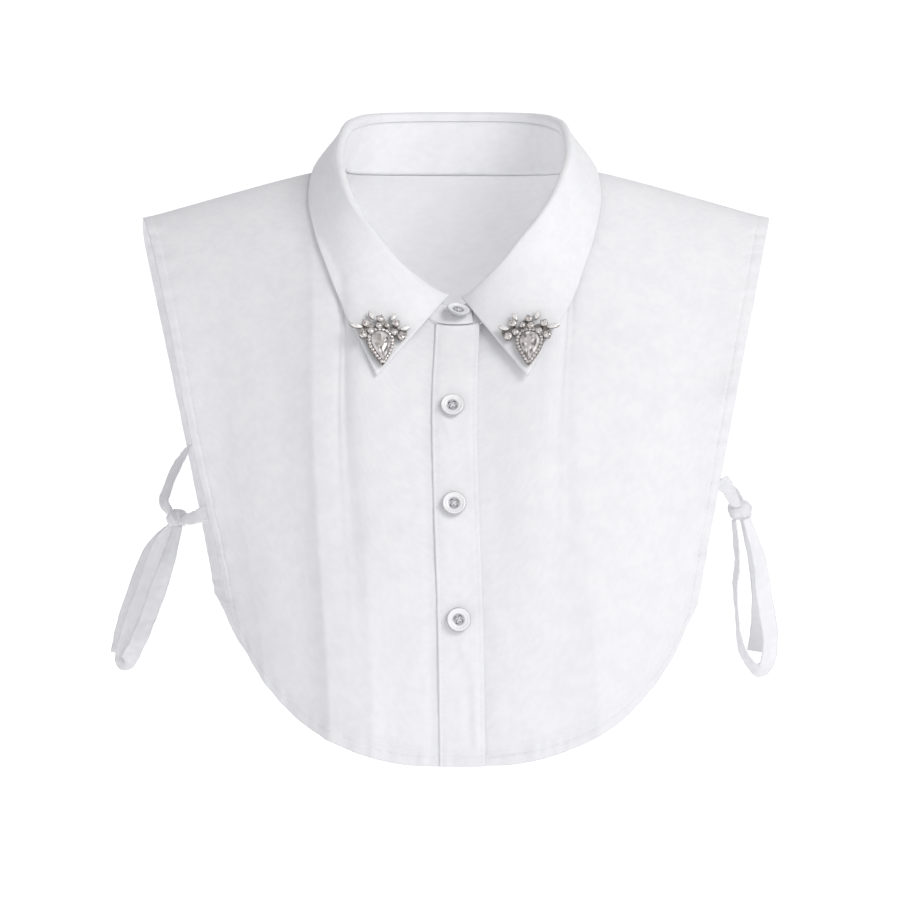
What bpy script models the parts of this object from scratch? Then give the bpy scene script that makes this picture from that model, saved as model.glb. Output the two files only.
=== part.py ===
"""Detachable shirt collar: a sleeveless bib front and back with a pointed collar.

Metres, +Z up. The front faces -Y, and +X is the wearer's left, at the viewer's right.
The origin lies midway between the two points where the shoulder line meets the neck.
The garment keeps the hollow form that it has when worn, open at neck, sides and hem.
"""
import math

import bmesh
import bpy
from mathutils import Matrix, Vector
from mathutils.bvhtree import BVHTree

MM = 0.001

# Walls and gaps, in millimetres
PANEL_WALL = 1.2
PLACKET_WALL = 1.7
COLLAR_WALL = 1.4
TIE_WALL = 1.1
GAP = 0.3
STAND_TOP_GAP = 1.0      # from the stand's top edge to the leaf that is sewn to it
SHOULDER_GAP = 0.25      # from the shoulder line to the edge of each panel's wall
NECK_EDGE = 1.8          # panel edge to the middle of the stand's wall
LEAF_CLEARANCE = 2.9     # middle of the leaf's wall to the middle of a panel's wall

# Neck, shoulders and placket, in millimetres
SIDE_NECK = Vector((64.0, 0.0, 0.0))
SHOULDER_TIP = Vector((179.5, 8.0, -26.8))
SHOULDER_HUMP = 3.2       # the shoulder line rises this much over a straight one
NECK_SHARE = 0.4         # part of a panel's width that hangs from the neck seam
PLACKET_WIDTH = 24.5
PLACKET_CENTRE = 1.2
UNDERLAP_EDGE = -10.5
PLACKET_PROUD = 0.4
UNDERLAP_SET_BACK = 1.45
UNDERLAP_RAMP = (16.0, 42.0)
ROLL_RISE = 5.0
ROLL_RADIUS = 2.1
ROLL_FOOT = 0.1          # parts of the leaf's way from the stand over the roll to its edge
ROLL_END = 0.25
LEAF_RESTS_FROM = 0.5
LEAF_DROP = 0.2         # parts of the leaf's fall, for the bend of its section
LEAF_ENDS = (10.6, 8.8)  # turns between which it comes to fall straight to its tip
LEAF_BEND = 0.36
LEAF_SPRING = 0.045
LEAF_BULGE = 0.04
LEAF_PUSHES = 3
LEAF_BODY_REACH = 12.0   # a panel further than this does not lift the leaf
OVERLAP_SHIFT = 0.95

# Collar sections, from centre front (0) over the side neck (7) to centre back (11).
# seam: where stand meets bib. fold: top of the roll. edge: outer edge of the leaf.
# station, seam x, y, z,     fold x, y, z,        edge x, y, z
COLLAR_SECTIONS = (
    (0.0, 0.0, -61.0, -90.3, 0.0, -45.0, -75.8, 35.5, -90.0, -128.0),
    (0.45, 6.3, -60.7, -89.9, 6.0, -46.5, -74.9, 41.1, -86.3, -118.7),
    (1.0, 14.0, -59.0, -87.8, 13.0, -51.0, -70.6, 49.0, -78.5, -104.1),
    (2.0, 28.0, -56.0, -80.5, 27.0, -55.0, -56.5, 57.0, -70.0, -89.5),
    (3.0, 40.0, -52.5, -70.0, 38.5, -55.0, -41.3, 64.8, -60.0, -76.0),
    (4.0, 50.0, -46.5, -56.0, 48.7, -52.5, -27.3, 71.5, -49.0, -58.0),
    (5.0, 57.5, -37.0, -38.5, 57.3, -46.5, -11.0, 78.0, -36.5, -39.0),
    (6.0, 62.5, -21.5, -18.0, 62.8, -32.0, 8.0, 82.3, -19.5, -17.2),
    (7.0, 64.0, 0.0, 0.0, 60.0, -12.0, 24.0, 79.6, 1.5, 3.8),
    (8.0, 61.0, 17.0, 0.2, 54.0, 9.5, 31.0, 72.0, 22.5, -0.5),
    (9.0, 49.0, 34.0, 0.8, 43.0, 32.0, 35.4, 60.0, 46.0, -1.5),
    (10.0, 27.0, 45.5, 1.5, 24.0, 43.5, 37.3, 34.0, 58.5, -3.0),
    (11.0, 0.0, 49.0, 1.8, 0.0, 47.0, 37.8, 0.0, 62.0, -3.5),
)
# The collar's front hangs a little towards the wearer's right.
# station, shift in x of the fold, of the leaf's edge
COLLAR_SHIFT = (
    (0.0, -0.6, -2.4),
    (0.45, -0.9, -2.3),
    (1.0, -1.5, -1.8),
    (2.0, -2.8, -1.1),
    (3.0, -3.1, -0.5),
    (5.0, -2.2, -0.5),
    (7.0, -0.6, -0.6),
    (11.0, 0.0, 0.0),
)
SHOULDER_STATION = 7.0
BACK_STATION = 11.0
LEAF_FRONT_STATION = 0.45
STAND_END_STATION = 0.72

# Bib front, one row for each section from centre front to armhole.
# share, lead x, y, z from the top edge, hem x, y, z, rise x, y, z from the hem
FRONT_SECTIONS = (
    (0.00, 0.0, -30.0, -45.0, 0.0, -128.0, -328.5, 0.0, -2.0, 95.0),
    (0.10, 0.0, -29.0, -43.0, 13.0, -127.7, -328.3, 1.0, -2.5, 100.0),
    (0.20, 0.5, -26.0, -39.0, 28.0, -126.8, -327.6, 2.0, -3.0, 110.0),
    (0.30, 1.0, -22.0, -34.0, 42.0, -125.0, -325.2, 3.0, -4.0, 125.0),
    (0.36, 1.0, -20.0, -20.0, 50.0, -123.5, -323.0, 4.0, -4.0, 130.0),
    (0.40, 1.0, -24.0, -3.0, 57.0, -122.0, -320.8, 5.0, -4.0, 130.0),
    (0.50, 1.0, -24.0, -4.0, 74.0, -117.0, -313.4, 6.0, -3.0, 128.0),
    (0.65, 1.0, -24.0, -4.0, 94.0, -110.0, -299.6, 8.0, -1.0, 118.0),
    (0.82, 0.0, -24.0, -4.0, 114.3, -98.5, -276.2, 11.0, 3.0, 98.0),
    (1.00, -2.0, -23.0, -4.5, 132.0, -87.0, -242.8, 14.0, 2.0, 78.0),
)

# Bib back, one row for each section from centre back to armhole, columns as above
BACK_SECTIONS = (
    (0.00, 0.0, 15.0, -38.0, 0.0, 82.0, -338.0, 0.0, 3.0, 160.0),
    (0.13, 0.0, 26.0, -32.0, 21.0, 82.0, -337.6, 0.5, 4.0, 178.0),
    (0.25, -0.5, 44.0, -19.0, 39.0, 80.5, -336.0, 1.0, 5.0, 203.0),
    (0.34, 0.5, 59.0, -6.0, 52.0, 79.0, -333.5, 1.5, 5.5, 225.0),
    (0.40, 1.0, 69.0, 3.0, 61.0, 78.0, -331.5, 2.0, 6.0, 236.0),
    (0.50, 1.0, 62.0, 2.5, 79.0, 75.0, -324.0, 4.0, 5.0, 215.0),
    (0.65, 1.0, 48.0, 1.0, 103.0, 69.0, -304.5, 7.0, 3.0, 172.0),
    (0.82, 1.0, 35.0, -0.5, 125.0, 60.0, -273.0, 11.0, 1.0, 122.0),
    (1.00, 3.0, 27.0, -2.0, 139.0, 48.0, -243.0, 15.0, -1.0, 85.0),
)

# Folds, each a crest line in the front or back view with a flank on each side.
# A negative rise is a trough. x and z at the top and the low end, rise at both,
# flank widths towards -X and +X
FRONT_FOLDS = (
    (-82.0, -22.0, -69.5, -330.0, 5.0, 10.0, 14.0, 55.0),
    (-50.0, -196.0, -47.0, -332.0, 0.0, 2.6, 26.0, 5.0),
    (-49.0, -203.0, -9.0, -246.0, 1.0, 1.2, 7.0, 7.0),
    (63.0, -96.0, 77.5, -330.0, 1.5, 10.5, 24.0, 48.0),
    (99.0, -18.0, 141.0, -112.0, -1.0, -2.6, 15.0, 13.0),
    (149.0, -160.0, 122.0, -250.0, -2.0, -1.4, 9.0, 8.0),
    (-128.0, -120.0, -108.0, -276.0, 0.6, 3.2, 16.0, 22.0),
)
BACK_FOLDS = (
    (-96.0, -48.0, -80.0, -336.0, 2.0, 9.0, 30.0, 17.0),
    (-24.0, -120.0, -33.0, -342.0, 0.8, 5.5, 20.0, 25.0),
    (47.0, -84.0, 38.0, -342.0, 1.5, 8.0, 17.0, 30.0),
    (112.0, -40.0, 98.0, -312.0, 2.0, 7.0, 26.0, 16.0),
)
FOLD_FADE = 0.22         # part of a fold's length over which it dies away at its top
FOLD_START = 0.2         # part of a section, from its top edge, where folds begin
BACK_SHIFT = -1.5        # the back hangs a little towards the wearer's right
LEFT_SIDE_TUCK = 3.5     # the armhole edge at -X is drawn in by its tie
LEFT_HEM_TUCK = 6.5      # and the hem below it hangs further in than at +X

# Centre line of the placket: it leans a little on the way down. height z, shift x
PLACKET_LEAN = (
    (-340.0, 2.2),
    (-252.0, 0.8),
    (-187.0, -1.4),
    (-135.0, -2.2),
    (-84.0, 0.0),
)

# Buttons, in millimetres
BUTTON_DIAMETER = 13.2
BUTTON_THICKNESS = 2.5
BUTTON_SEAT = 0.75       # length of the thread under a button
STAND_BUTTON_SEAT = 3.0  # longer where the stand curves away under the button
PLACKET_BUTTON_HEIGHTS = (-136.0, -188.9, -250.5)
STAND_BUTTON_FRACTION = 0.3
STAND_BUTTON_FACING = Vector((0.2, -0.5, 0.84))     # it lies back more than the stand
# Turned outline from the middle of the back to the middle of the face:
# radius and height, as parts of the whole
BUTTON_OUTLINE = (
    (0.0, 0.0),
    (0.86, 0.0),
    (1.0, 0.38),
    (1.0, 0.66),
    (0.92, 1.0),
    (0.74, 0.94),
    (0.52, 0.62),
    (0.0, 0.52),
)

# Jewelled collar points, in millimetres, in the plane of the leaf
BROOCH_CENTRES = {"right": (-42.4, -100.0), "left": (40.7, -99.9)}
PLATE_THICKNESS = 1.3
BROOCH_SEAT = 1.6        # the flat back stands on the curved cloth
STUD_HEIGHT = 2.2
STUD_DIAMETER = 4.2
STUD_TOP_SHARE = 0.68    # width of a stud's top as a part of its foot
STUD_FOOT = 0.4          # a stud starts this far up inside the plate
PEAR_WIDTH = 14.6
PEAR_HEIGHT = 24.0
PEAR_DROP = 4.5          # middle of the pear below the brooch centre
STONE_WIDTH = 9.6
STONE_HEIGHT = 17.0
STONE_RISE = 2.6
STONE_GIRDLE = (1.04, 0.35)         # widest ring: size and height, as parts
STONE_TABLE = (0.58, 1.0)
STONE_POINTS = 16
PEAR_POINTS = 24
PEAR_SHOULDER = 2.0      # the pear's outline shows below this height over its middle
# Scalloped upper outline of the metal back, from beside the pear over the top. x, y
CROWN_OUTLINE = (
    (11.8, 1.2),
    (9.4, 6.4),
    (10.4, 9.8),
    (7.6, 12.2),
    (4.2, 11.8),
    (2.6, 14.6),
    (-2.2, 15.0),
    (-5.4, 12.0),
    (-9.0, 12.2),
    (-12.0, 10.0),
    (-11.4, 5.6),
    (-14.0, 2.6),
    (-12.6, -1.2),
)
# Middles of the small round stones. x, y
STUD_PLACES = (
    (-1.0, 12.4),
    (7.6, 9.6),
    (-9.6, 9.4),
    (-8.0, 3.8),
    (5.0, 4.4),
    (-11.9, 1.2),
    (9.6, 2.4),
)

# Ties: tape of folded cloth. x, y, z, turn of the tape in degrees, width.
# A turn of 0 shows the tape's face to the front, 90 shows its edge.
TIE_WIDTH = 9.5
KNOT_CENTRES = {"right": (-158.5, -9.0, -198.0), "left": (161.6, -8.0, -193.3)}
KNOT_RADII = {"right": (6.0, 4.6, 5.8), "left": (7.2, 4.6, 6.2)}
KNOT_PINCH = 0.12
KNOT_PINCH_WIDTH = 0.3
TIE_SEAT = 1.2           # the tape's corners come closer to the knot than its middle
STRAND_SEAT = 0.9
TIE_START = 1.2          # from a panel's edge to the end of its tie
TIE_INWARD = 1.4         # a front tie starts this far behind the panel's edge
FRONT_TIE_TURN = 20.0
BACK_TIE_TURN = 70.0
FRONT_TIE_HEIGHT = {"right": -193.0, "left": -176.0}
BACK_TIE_HEIGHT = {"right": -158.0, "left": -176.0}
TIE_TAPES = {
    "right_back_tie": (
        (-162.5, 30.0, -170.0, 55.0, 8.0),
        (-167.3, 10.0, -187.0, 40.0, 8.0),
        (-165.6, -2.5, -194.5, 40.0, 5.0),
    ),
    "right_front_tie": (
        (-147.0, -47.0, -197.0, 30.0, 8.0),
        (-151.0, -20.0, -198.5, 35.0, 5.5),
    ),
    "right_tie_loop": (
        (-157.5, -13.0, -204.8, 15.0, 5.0),
        (-163.2, -16.0, -221.5, 10.0, 8.5),
        (-168.9, -16.5, -238.5, -5.0, 9.5),
        (-175.6, -16.5, -256.7, 8.0, 9.5),
        (-182.0, -16.5, -271.5, 0.0, 9.5),
        (-187.0, -13.5, -279.5, -4.0, 9.5),
        (-189.0, -9.5, -276.0, 0.0, 9.5),
        (-184.8, -8.0, -258.4, 8.0, 9.5),
        (-177.6, -7.5, -238.5, -4.0, 9.0),
        (-170.2, -7.5, -216.0, 8.0, 8.0),
        (-163.4, -8.0, -204.6, 20.0, 5.0),
    ),
    "right_tie_tail": (
        (-162.0, -1.6, -204.0, 10.0, 5.0),
        (-174.5, 0.0, -217.0, 12.0, 8.0),
        (-184.1, 0.0, -242.5, -6.0, 9.0),
        (-189.8, 0.0, -261.2, 6.0, 9.5),
        (-192.6, -0.5, -275.4, 0.0, 9.5),
    ),
    "left_back_tie": (
        (160.0, 28.0, -184.0, 40.0, 8.0),
        (165.0, 3.0, -190.6, 30.0, 5.0),
    ),
    "left_front_tie": (
        (152.8, -43.0, -182.5, 35.0, 8.0),
        (156.2, -17.0, -188.6, 35.0, 5.5),
    ),
    "left_tie_loop": (
        (157.0, -8.5, -200.4, 60.0, 5.0),
        (159.8, -10.0, -221.7, 76.0, 9.0),
        (158.6, -11.0, -238.8, 84.0, 9.5),
        (161.0, -12.0, -267.2, 76.0, 9.5),
        (165.8, -13.0, -279.0, 60.0, 9.5),
        (171.6, -14.0, -284.2, 40.0, 9.5),
        (176.6, -14.5, -279.5, 26.0, 9.5),
        (178.2, -14.5, -264.4, 12.0, 9.5),
        (174.6, -14.0, -241.6, 4.0, 9.5),
        (172.2, -13.0, -221.7, 14.0, 8.0),
        (167.2, -11.5, -200.6, 26.0, 5.0),
    ),
    "left_tie_tail": (
        (165.4, -4.2, -200.6, 20.0, 5.0),
        (170.5, -3.0, -221.7, 12.0, 8.0),
        (173.0, -3.0, -243.0, -8.0, 9.0),
        (172.4, -4.0, -262.0, 14.0, 9.5),
        (170.6, -4.5, -274.0, 8.0, 9.5),
    ),
}

# Grid divisions
FRONT_COLUMNS = 22
BACK_COLUMNS = 30
PANEL_ROWS = 18
LEAF_COLUMNS = 50
STAND_END_COLUMNS = 3    # more columns at each end of the stand, past the leaf's end
STAND_ROWS = 3
LEAF_FALL_ROWS = 8
ROLL_STEPS = 4
PLACKET_ROWS = 22
TAPE_STEPS_PER_ROW = 2
HALVINGS = 26            # steps of a search for a place on a curve
MERGE_DISTANCE = 0.00001 # metres

# Colours, linear
WHITE_COTTON = (0.86, 0.86, 0.88)
BUTTON_WHITE = (0.78, 0.77, 0.78)
BRIGHT_SILVER = (0.62, 0.60, 0.58)
CRYSTAL = (0.72, 0.70, 0.68)


def clear_scene():
    for obj in list(bpy.data.objects):
        bpy.data.objects.remove(obj, do_unlink=True)


def make_material(name, colour, roughness, metallic):
    material = bpy.data.materials.new(name)
    material.use_nodes = True
    shader = material.node_tree.nodes["Principled BSDF"]
    shader.inputs["Base Color"].default_value = (*colour, 1.0)
    shader.inputs["Roughness"].default_value = roughness
    shader.inputs["Metallic"].default_value = metallic
    return material


def add_object(name, bm, material, wall=0.0, smooth=True):
    """Turn a bmesh in metres into an object, with an even wall where one is asked for."""
    mesh = bpy.data.meshes.new(name)
    bm.to_mesh(mesh)
    bm.free()
    mesh.materials.append(material)
    if smooth:
        mesh.shade_smooth()
        mesh.set_sharp_from_angle(angle=math.radians(50.0))
    obj = bpy.data.objects.new(name, mesh)
    bpy.context.scene.collection.objects.link(obj)
    if wall:
        solidify = obj.modifiers.new("cloth wall", "SOLIDIFY")
        solidify.thickness = wall * MM
        solidify.offset = 0.0
        solidify.use_even_offset = True
    return obj


def read_table(table, key):
    """Values of a table at any key, on a smooth curve through its rows."""
    last = len(table) - 1
    i = 0
    while i < last - 1 and key > table[i + 1][0]:
        i += 1
    start, end = table[i], table[i + 1]
    before, after = table[max(i - 1, 0)], table[min(i + 2, last)]
    span = end[0] - start[0]
    f = (key - start[0]) / span
    weight_end = f * f * (3.0 - 2.0 * f)
    lean_start = f * (1.0 - f) ** 2
    lean_end = -f * f * (1.0 - f)
    values = []
    for column in range(1, len(start)):
        slope_start = (end[column] - before[column]) / (end[0] - before[0])
        slope_end = (after[column] - start[column]) / (after[0] - start[0])
        level = start[column] + (end[column] - start[column]) * weight_end
        values.append(level + span * (slope_start * lean_start + slope_end * lean_end))
    return values


def bezier(p0, p1, p2, p3, t):
    s = 1.0 - t
    return p0 * s ** 3 + p1 * (3.0 * s * s * t) + p2 * (3.0 * s * t * t) + p3 * t ** 3


def smooth_step(low, high, value):
    f = min(max((value - low) / (high - low), 0.0), 1.0)
    return f * f * (3.0 - 2.0 * f)


def collar_section(station, side=1.0):
    """Seam, fold and leaf edge of the collar at a station, on the +X or -X side."""
    row = read_table(COLLAR_SECTIONS, station)
    shift = read_table(COLLAR_SHIFT, station)
    seam = Vector((side * row[0], row[1], row[2]))
    fold = Vector((side * row[3] + shift[0], row[4], row[5]))
    edge = Vector((side * row[6] + shift[1], row[7], row[8]))
    return seam, fold, edge


def fold_rise(folds, x, z):
    """How far the folds lift the cloth off its plain form at a place in the front view."""
    total = 0.0
    for x_top, z_top, x_low, z_low, rise_top, rise_low, left, right in folds:
        run = Vector((x_low - x_top, z_low - z_top))
        length = run.length
        along = ((x - x_top) * run.x + (z - z_top) * run.y) / (length * length)
        across = ((z - z_top) * run.x - (x - x_top) * run.y) / length
        start = smooth_step(0.0, FOLD_FADE, along + 0.5 * FOLD_FADE)
        end = 1.0 - smooth_step(1.0, 1.0 + FOLD_FADE, along)
        rise = rise_top + (rise_low - rise_top) * min(max(along, 0.0), 1.0)
        if across < 0.0:
            shape = math.exp(across / left)
        else:
            shape = 1.0 / (1.0 + (across / right) ** 2)
        total += rise * start * end * shape
    return total


def panel_point(sections, station_of, folds, facing, share, v):
    """Point of a bib panel. share runs from the centre line (0) to an armhole (1 or -1),
    v from the top edge (0) to the hem (1), and facing is -1 at the front, 1 at the back."""
    side = 1.0 if share >= 0.0 else -1.0
    width = abs(share)
    row = read_table(sections, width)
    lead = Vector(row[0:3])
    if width < NECK_SHARE:
        part = width / NECK_SHARE
        seam = collar_section(station_of(part))[0]
        outward = Vector((seam.x, 0.5 * seam.y, -0.8 * abs(seam.y))).normalized()
        top = seam + outward * NECK_EDGE
        seam_gap = SHOULDER_GAP * part ** 8
    else:
        part = (width - NECK_SHARE) / (1.0 - NECK_SHARE)
        edge = SIDE_NECK + Vector((NECK_EDGE, 0.0, 0.0))
        top = edge.lerp(SHOULDER_TIP, part)
        top.z += SHOULDER_HUMP * math.sin(math.pi * part ** 0.45)
        seam_gap = SHOULDER_GAP
    hem = Vector(row[3:6])
    start = seam_gap / (3.0 * lead.length)
    t = start + (1.0 - start) * v
    point = bezier(top, top + lead, hem + Vector(row[6:9]), hem, t)
    point.x *= side
    near_seam = smooth_step(0.0, FOLD_START, v)
    point.y += facing * fold_rise(folds, point.x, point.z) * near_seam
    return point


def front_point(share, v):
    def station_of(part):
        return SHOULDER_STATION * part

    point = panel_point(FRONT_SECTIONS, station_of, FRONT_FOLDS, -1.0, share, v)
    lean = read_table(PLACKET_LEAN, min(max(point.z, -340.0), -84.0))[0]
    point.x += lean * (1.0 - smooth_step(0.25, 0.9, abs(share)))
    if share < 0.0:
        point.x += LEFT_SIDE_TUCK * math.sin(math.pi * v) ** 0.8 * abs(share) ** 4
        point.x += LEFT_HEM_TUCK * smooth_step(0.6, 1.0, v) * share * share
    return point


def back_point(share, v):
    def station_of(part):
        return BACK_STATION - (BACK_STATION - SHOULDER_STATION) * part

    point = panel_point(BACK_SECTIONS, station_of, BACK_FOLDS, 1.0, share, v)
    point.x += BACK_SHIFT * smooth_step(0.0, 0.2, v)
    return point


def surface_normal(point_at, share, v, facing):
    """Outward direction of a panel at a place, from its points close by."""
    step = 0.004
    across = point_at(share + step, v) - point_at(share - step, v)
    down = point_at(share, min(v + step, 1.0)) - point_at(share, max(v - step, 0.0))
    normal = across.cross(down).normalized()
    return normal if normal.y * facing > 0.0 else -normal


def share_at(x, v):
    """Place across the bib front whose point lies at x, at a height v."""
    low, high = -0.5, 0.5
    for _ in range(HALVINGS):
        middle = 0.5 * (low + high)
        if front_point(middle, v).x < x:
            low = middle
        else:
            high = middle
    return 0.5 * (low + high)


def grid_mesh(columns, rows, point_at):
    """A grid sheet whose points are point_at(u, v) in millimetres, u and v from 0 to 1."""
    bm = bmesh.new()
    bmesh.ops.create_grid(bm, x_segments=columns, y_segments=rows, size=1.0)
    for vert in bm.verts:
        u = 0.5 * (vert.co.x + 1.0)
        v = 0.5 * (1.0 - vert.co.y)
        vert.co = point_at(u, v) * MM
    bm.normal_update()
    return bm


def make_front_right(material):
    """Bib front at -X, from its armhole to the sewn edge of the placket.
    Like the other panels it also gives a search tree, for what has to clear it."""
    def point_at(u, v):
        seam_x = PLACKET_CENTRE - 0.5 * PLACKET_WIDTH - GAP
        height = front_point(0.0, v).z
        seam_x += read_table(PLACKET_LEAN, min(max(height, -340.0), -84.0))[0]
        inner = share_at(seam_x, v)
        return front_point(inner + (-1.0 - inner) * u, v)

    bm = grid_mesh(FRONT_COLUMNS, PANEL_ROWS, point_at)
    tree = BVHTree.FromBMesh(bm)
    add_object("front_right", bm, material, PANEL_WALL)
    return tree


def make_front_left(material):
    """Bib front at +X: its button edge runs on under the placket."""
    def point_at(u, v):
        height = front_point(0.0, v).z
        lean = read_table(PLACKET_LEAN, min(max(height, -340.0), -84.0))[0]
        inner = share_at(UNDERLAP_EDGE + lean, v)
        share = inner + (1.0 - inner) * u
        point = front_point(share, v)
        near = 1.0 - smooth_step(UNDERLAP_RAMP[0], UNDERLAP_RAMP[1], point.x)
        normal = surface_normal(front_point, share, v, -1.0)
        return point - normal * (UNDERLAP_SET_BACK * near)

    bm = grid_mesh(FRONT_COLUMNS, PANEL_ROWS, point_at)
    tree = BVHTree.FromBMesh(bm)
    add_object("front_left", bm, material, PANEL_WALL)
    return tree


def placket_point(u, v, raised):
    """Point on the placket, raised above the bib front. u runs from its -X edge to +X."""
    height = front_point(0.0, v).z
    lean = read_table(PLACKET_LEAN, min(max(height, -340.0), -84.0))[0]
    share = share_at(PLACKET_CENTRE + (u - 0.5) * PLACKET_WIDTH + lean, v)
    normal = surface_normal(front_point, share, v, -1.0)
    return front_point(share, v) + normal * raised, normal


def make_placket(material):
    """Folded strip down the centre front, several layers thick."""
    bm = grid_mesh(4, PLACKET_ROWS, lambda u, v: placket_point(u, v, PLACKET_PROUD)[0])
    tree = BVHTree.FromBMesh(bm)
    add_object("placket", bm, material, PLACKET_WALL)
    return tree


def make_back(material):
    bm = grid_mesh(BACK_COLUMNS, PANEL_ROWS, lambda u, v: back_point(2.0 * u - 1.0, v))
    tree = BVHTree.FromBMesh(bm)
    add_object("back", bm, material, PANEL_WALL)
    return tree


def collar_frame(turn):
    """Collar section at a turn round the neck: 0 at centre back, +11 at centre front on
    the +X side, -11 on the -X side. Past 11 the stand's ends lie over each other."""
    side = 1.0 if turn >= 0.0 else -1.0
    station = BACK_STATION - abs(turn)
    layer = OVERLAP_SHIFT * -side * smooth_step(8.8, 10.6, abs(turn))
    if station < 0.0:
        station, side = -station, -side
    seam, fold, edge = collar_section(station, side)
    up = (fold - seam).normalized()
    ahead = collar_section(station + 0.05, side)[1]
    behind = collar_section(max(station - 0.05, 0.0), side)[1]
    outward = up.cross((ahead - behind).normalized())
    if outward.dot(Vector((fold.x, fold.y, 0.0))) < 0.0:
        outward = -outward
    outward.normalize()
    shift = outward * layer
    return seam + shift, fold + shift, edge, up, outward


def make_stand(material):
    """Collar stand: a band round the neck whose ends overlap at the front. Its columns
    are those of the leaf, so that the two edges run evenly side by side."""
    half = LEAF_COLUMNS // 2
    leaf_end = BACK_STATION - LEAF_FRONT_STATION
    end_step = (LEAF_FRONT_STATION + STAND_END_STATION) / STAND_END_COLUMNS
    columns = LEAF_COLUMNS + 2 * STAND_END_COLUMNS

    def point_at(u, v):
        column = round(u * columns) - columns // 2
        turn = leaf_end * min(abs(column), half) / half
        turn += end_step * max(abs(column) - half, 0)
        seam, fold, _, up, _ = collar_frame(math.copysign(turn, column))
        top = fold - up * (ROLL_RISE + STAND_TOP_GAP)
        return seam.lerp(top, v)

    bm = grid_mesh(columns, STAND_ROWS, point_at)
    return add_object("collar_stand", bm, material, COLLAR_WALL)


def leaf_point(turn, v):
    """Point of the leaf. v climbs from the stand up to ROLL_FOOT, rolls over up to
    ROLL_END, and from there to 1 it falls outside to the leaf's edge."""
    _, fold, edge, up, outward = collar_frame(turn)
    rise_top = fold - up * ROLL_RADIUS
    if v < ROLL_FOOT:
        return (fold - up * ROLL_RISE).lerp(rise_top, v / ROLL_FOOT)
    if v < ROLL_END:
        angle = math.pi * (v - ROLL_FOOT) / (ROLL_END - ROLL_FOOT)
        centre = rise_top + outward * ROLL_RADIUS
        around = up * math.sin(angle) - outward * math.cos(angle)
        return centre + around * ROLL_RADIUS
    begin = rise_top + outward * (2.0 * ROLL_RADIUS)
    reach = (edge - begin).length
    straight = 1.0 - smooth_step(BACK_STATION - LEAF_ENDS[0], BACK_STATION - LEAF_ENDS[1],
                                 BACK_STATION - abs(turn))
    fall = (-up).lerp((edge - begin) / reach, straight)
    drop = begin + fall * (LEAF_DROP * reach) + outward * (LEAF_SPRING * reach)
    bend = edge.lerp(begin, LEAF_BEND) + outward * (LEAF_BULGE * reach)
    return bezier(begin, drop, bend, edge, (v - ROLL_END) / (1.0 - ROLL_END))


def clear_of_body(point, form):
    """Move a point of the leaf out until it clears the bib's walls.
    form holds a search tree for each panel and the way that the panel faces."""
    for _ in range(LEAF_PUSHES):
        for tree, facing in form:
            place, normal, _, distance = tree.find_nearest(point * MM)
            outward = normal if normal.dot(facing) > 0.0 else -normal
            height = (point * MM - place).dot(outward)
            if distance < LEAF_BODY_REACH * MM and height < LEAF_CLEARANCE * MM:
                point = (place + outward * (LEAF_CLEARANCE * MM)) / MM
    return point


def make_leaf(material, form):
    """Pointed fall of the collar, folded over the stand all round the neck."""
    end = BACK_STATION - LEAF_FRONT_STATION
    rows = [0.0]
    rows += [ROLL_FOOT + (ROLL_END - ROLL_FOOT) * i / ROLL_STEPS for i in range(ROLL_STEPS)]
    rows += [ROLL_END + (1.0 - ROLL_END) * i / LEAF_FALL_ROWS for i in range(LEAF_FALL_ROWS + 1)]

    def point_at(u, v):
        row = rows[round(v * (len(rows) - 1))]
        turn = end * (2.0 * u - 1.0)
        point = leaf_point(turn, row)
        return clear_of_body(point, form) if row > LEAF_RESTS_FROM else point

    bm = grid_mesh(LEAF_COLUMNS, len(rows) - 1, point_at)
    tree = BVHTree.FromBMesh(bm)
    add_object("collar_leaf", bm, material, COLLAR_WALL)
    return tree


def frame_at(place, normal, up_hint=Vector((0.0, 0.0, 1.0))):
    """Matrix whose Z is the given normal and whose Y leans towards the hint, in metres."""
    across = up_hint.cross(normal).normalized()
    up = normal.cross(across).normalized()
    turn = Matrix((across, up, normal)).transposed().to_4x4()
    return Matrix.Translation(place * MM) @ turn


def make_button(name, frame, material):
    """Round button with a raised rim and a dished middle."""
    radius = 0.5 * BUTTON_DIAMETER * MM
    height = BUTTON_THICKNESS * MM
    bm = bmesh.new()
    verts = [bm.verts.new((part * radius, 0.0, rise * height)) for part, rise in BUTTON_OUTLINE]
    edges = [bm.edges.new(pair) for pair in zip(verts, verts[1:])]
    bmesh.ops.spin(bm, geom=verts + edges, cent=(0.0, 0.0, 0.0), axis=(0.0, 0.0, 1.0),
                   angle=2.0 * math.pi, steps=20, use_merge=True)
    bmesh.ops.remove_doubles(bm, verts=bm.verts, dist=MERGE_DISTANCE)
    bmesh.ops.recalc_face_normals(bm, faces=bm.faces)
    bm.transform(frame)
    return add_object(name, bm, material)


def make_buttons(material):
    """Three buttons on the placket and one on the stand."""
    for number, height in enumerate(PLACKET_BUTTON_HEIGHTS, start=2):
        low, high = 0.0, 1.0
        for _ in range(HALVINGS):
            v = 0.5 * (low + high)
            if front_point(0.0, v).z > height:
                low = v
            else:
                high = v
        place, normal = placket_point(0.45, v, PLACKET_PROUD + 0.5 * PLACKET_WALL + BUTTON_SEAT)
        make_button(f"button_{number}", frame_at(place, normal), material)
    seam, fold, _, up, outward = collar_frame(-BACK_STATION)
    place = seam.lerp(fold, STAND_BUTTON_FRACTION) + outward * (0.5 * COLLAR_WALL + STAND_BUTTON_SEAT)
    make_button("button_1", frame_at(place, STAND_BUTTON_FACING.normalized()), material)


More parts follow.
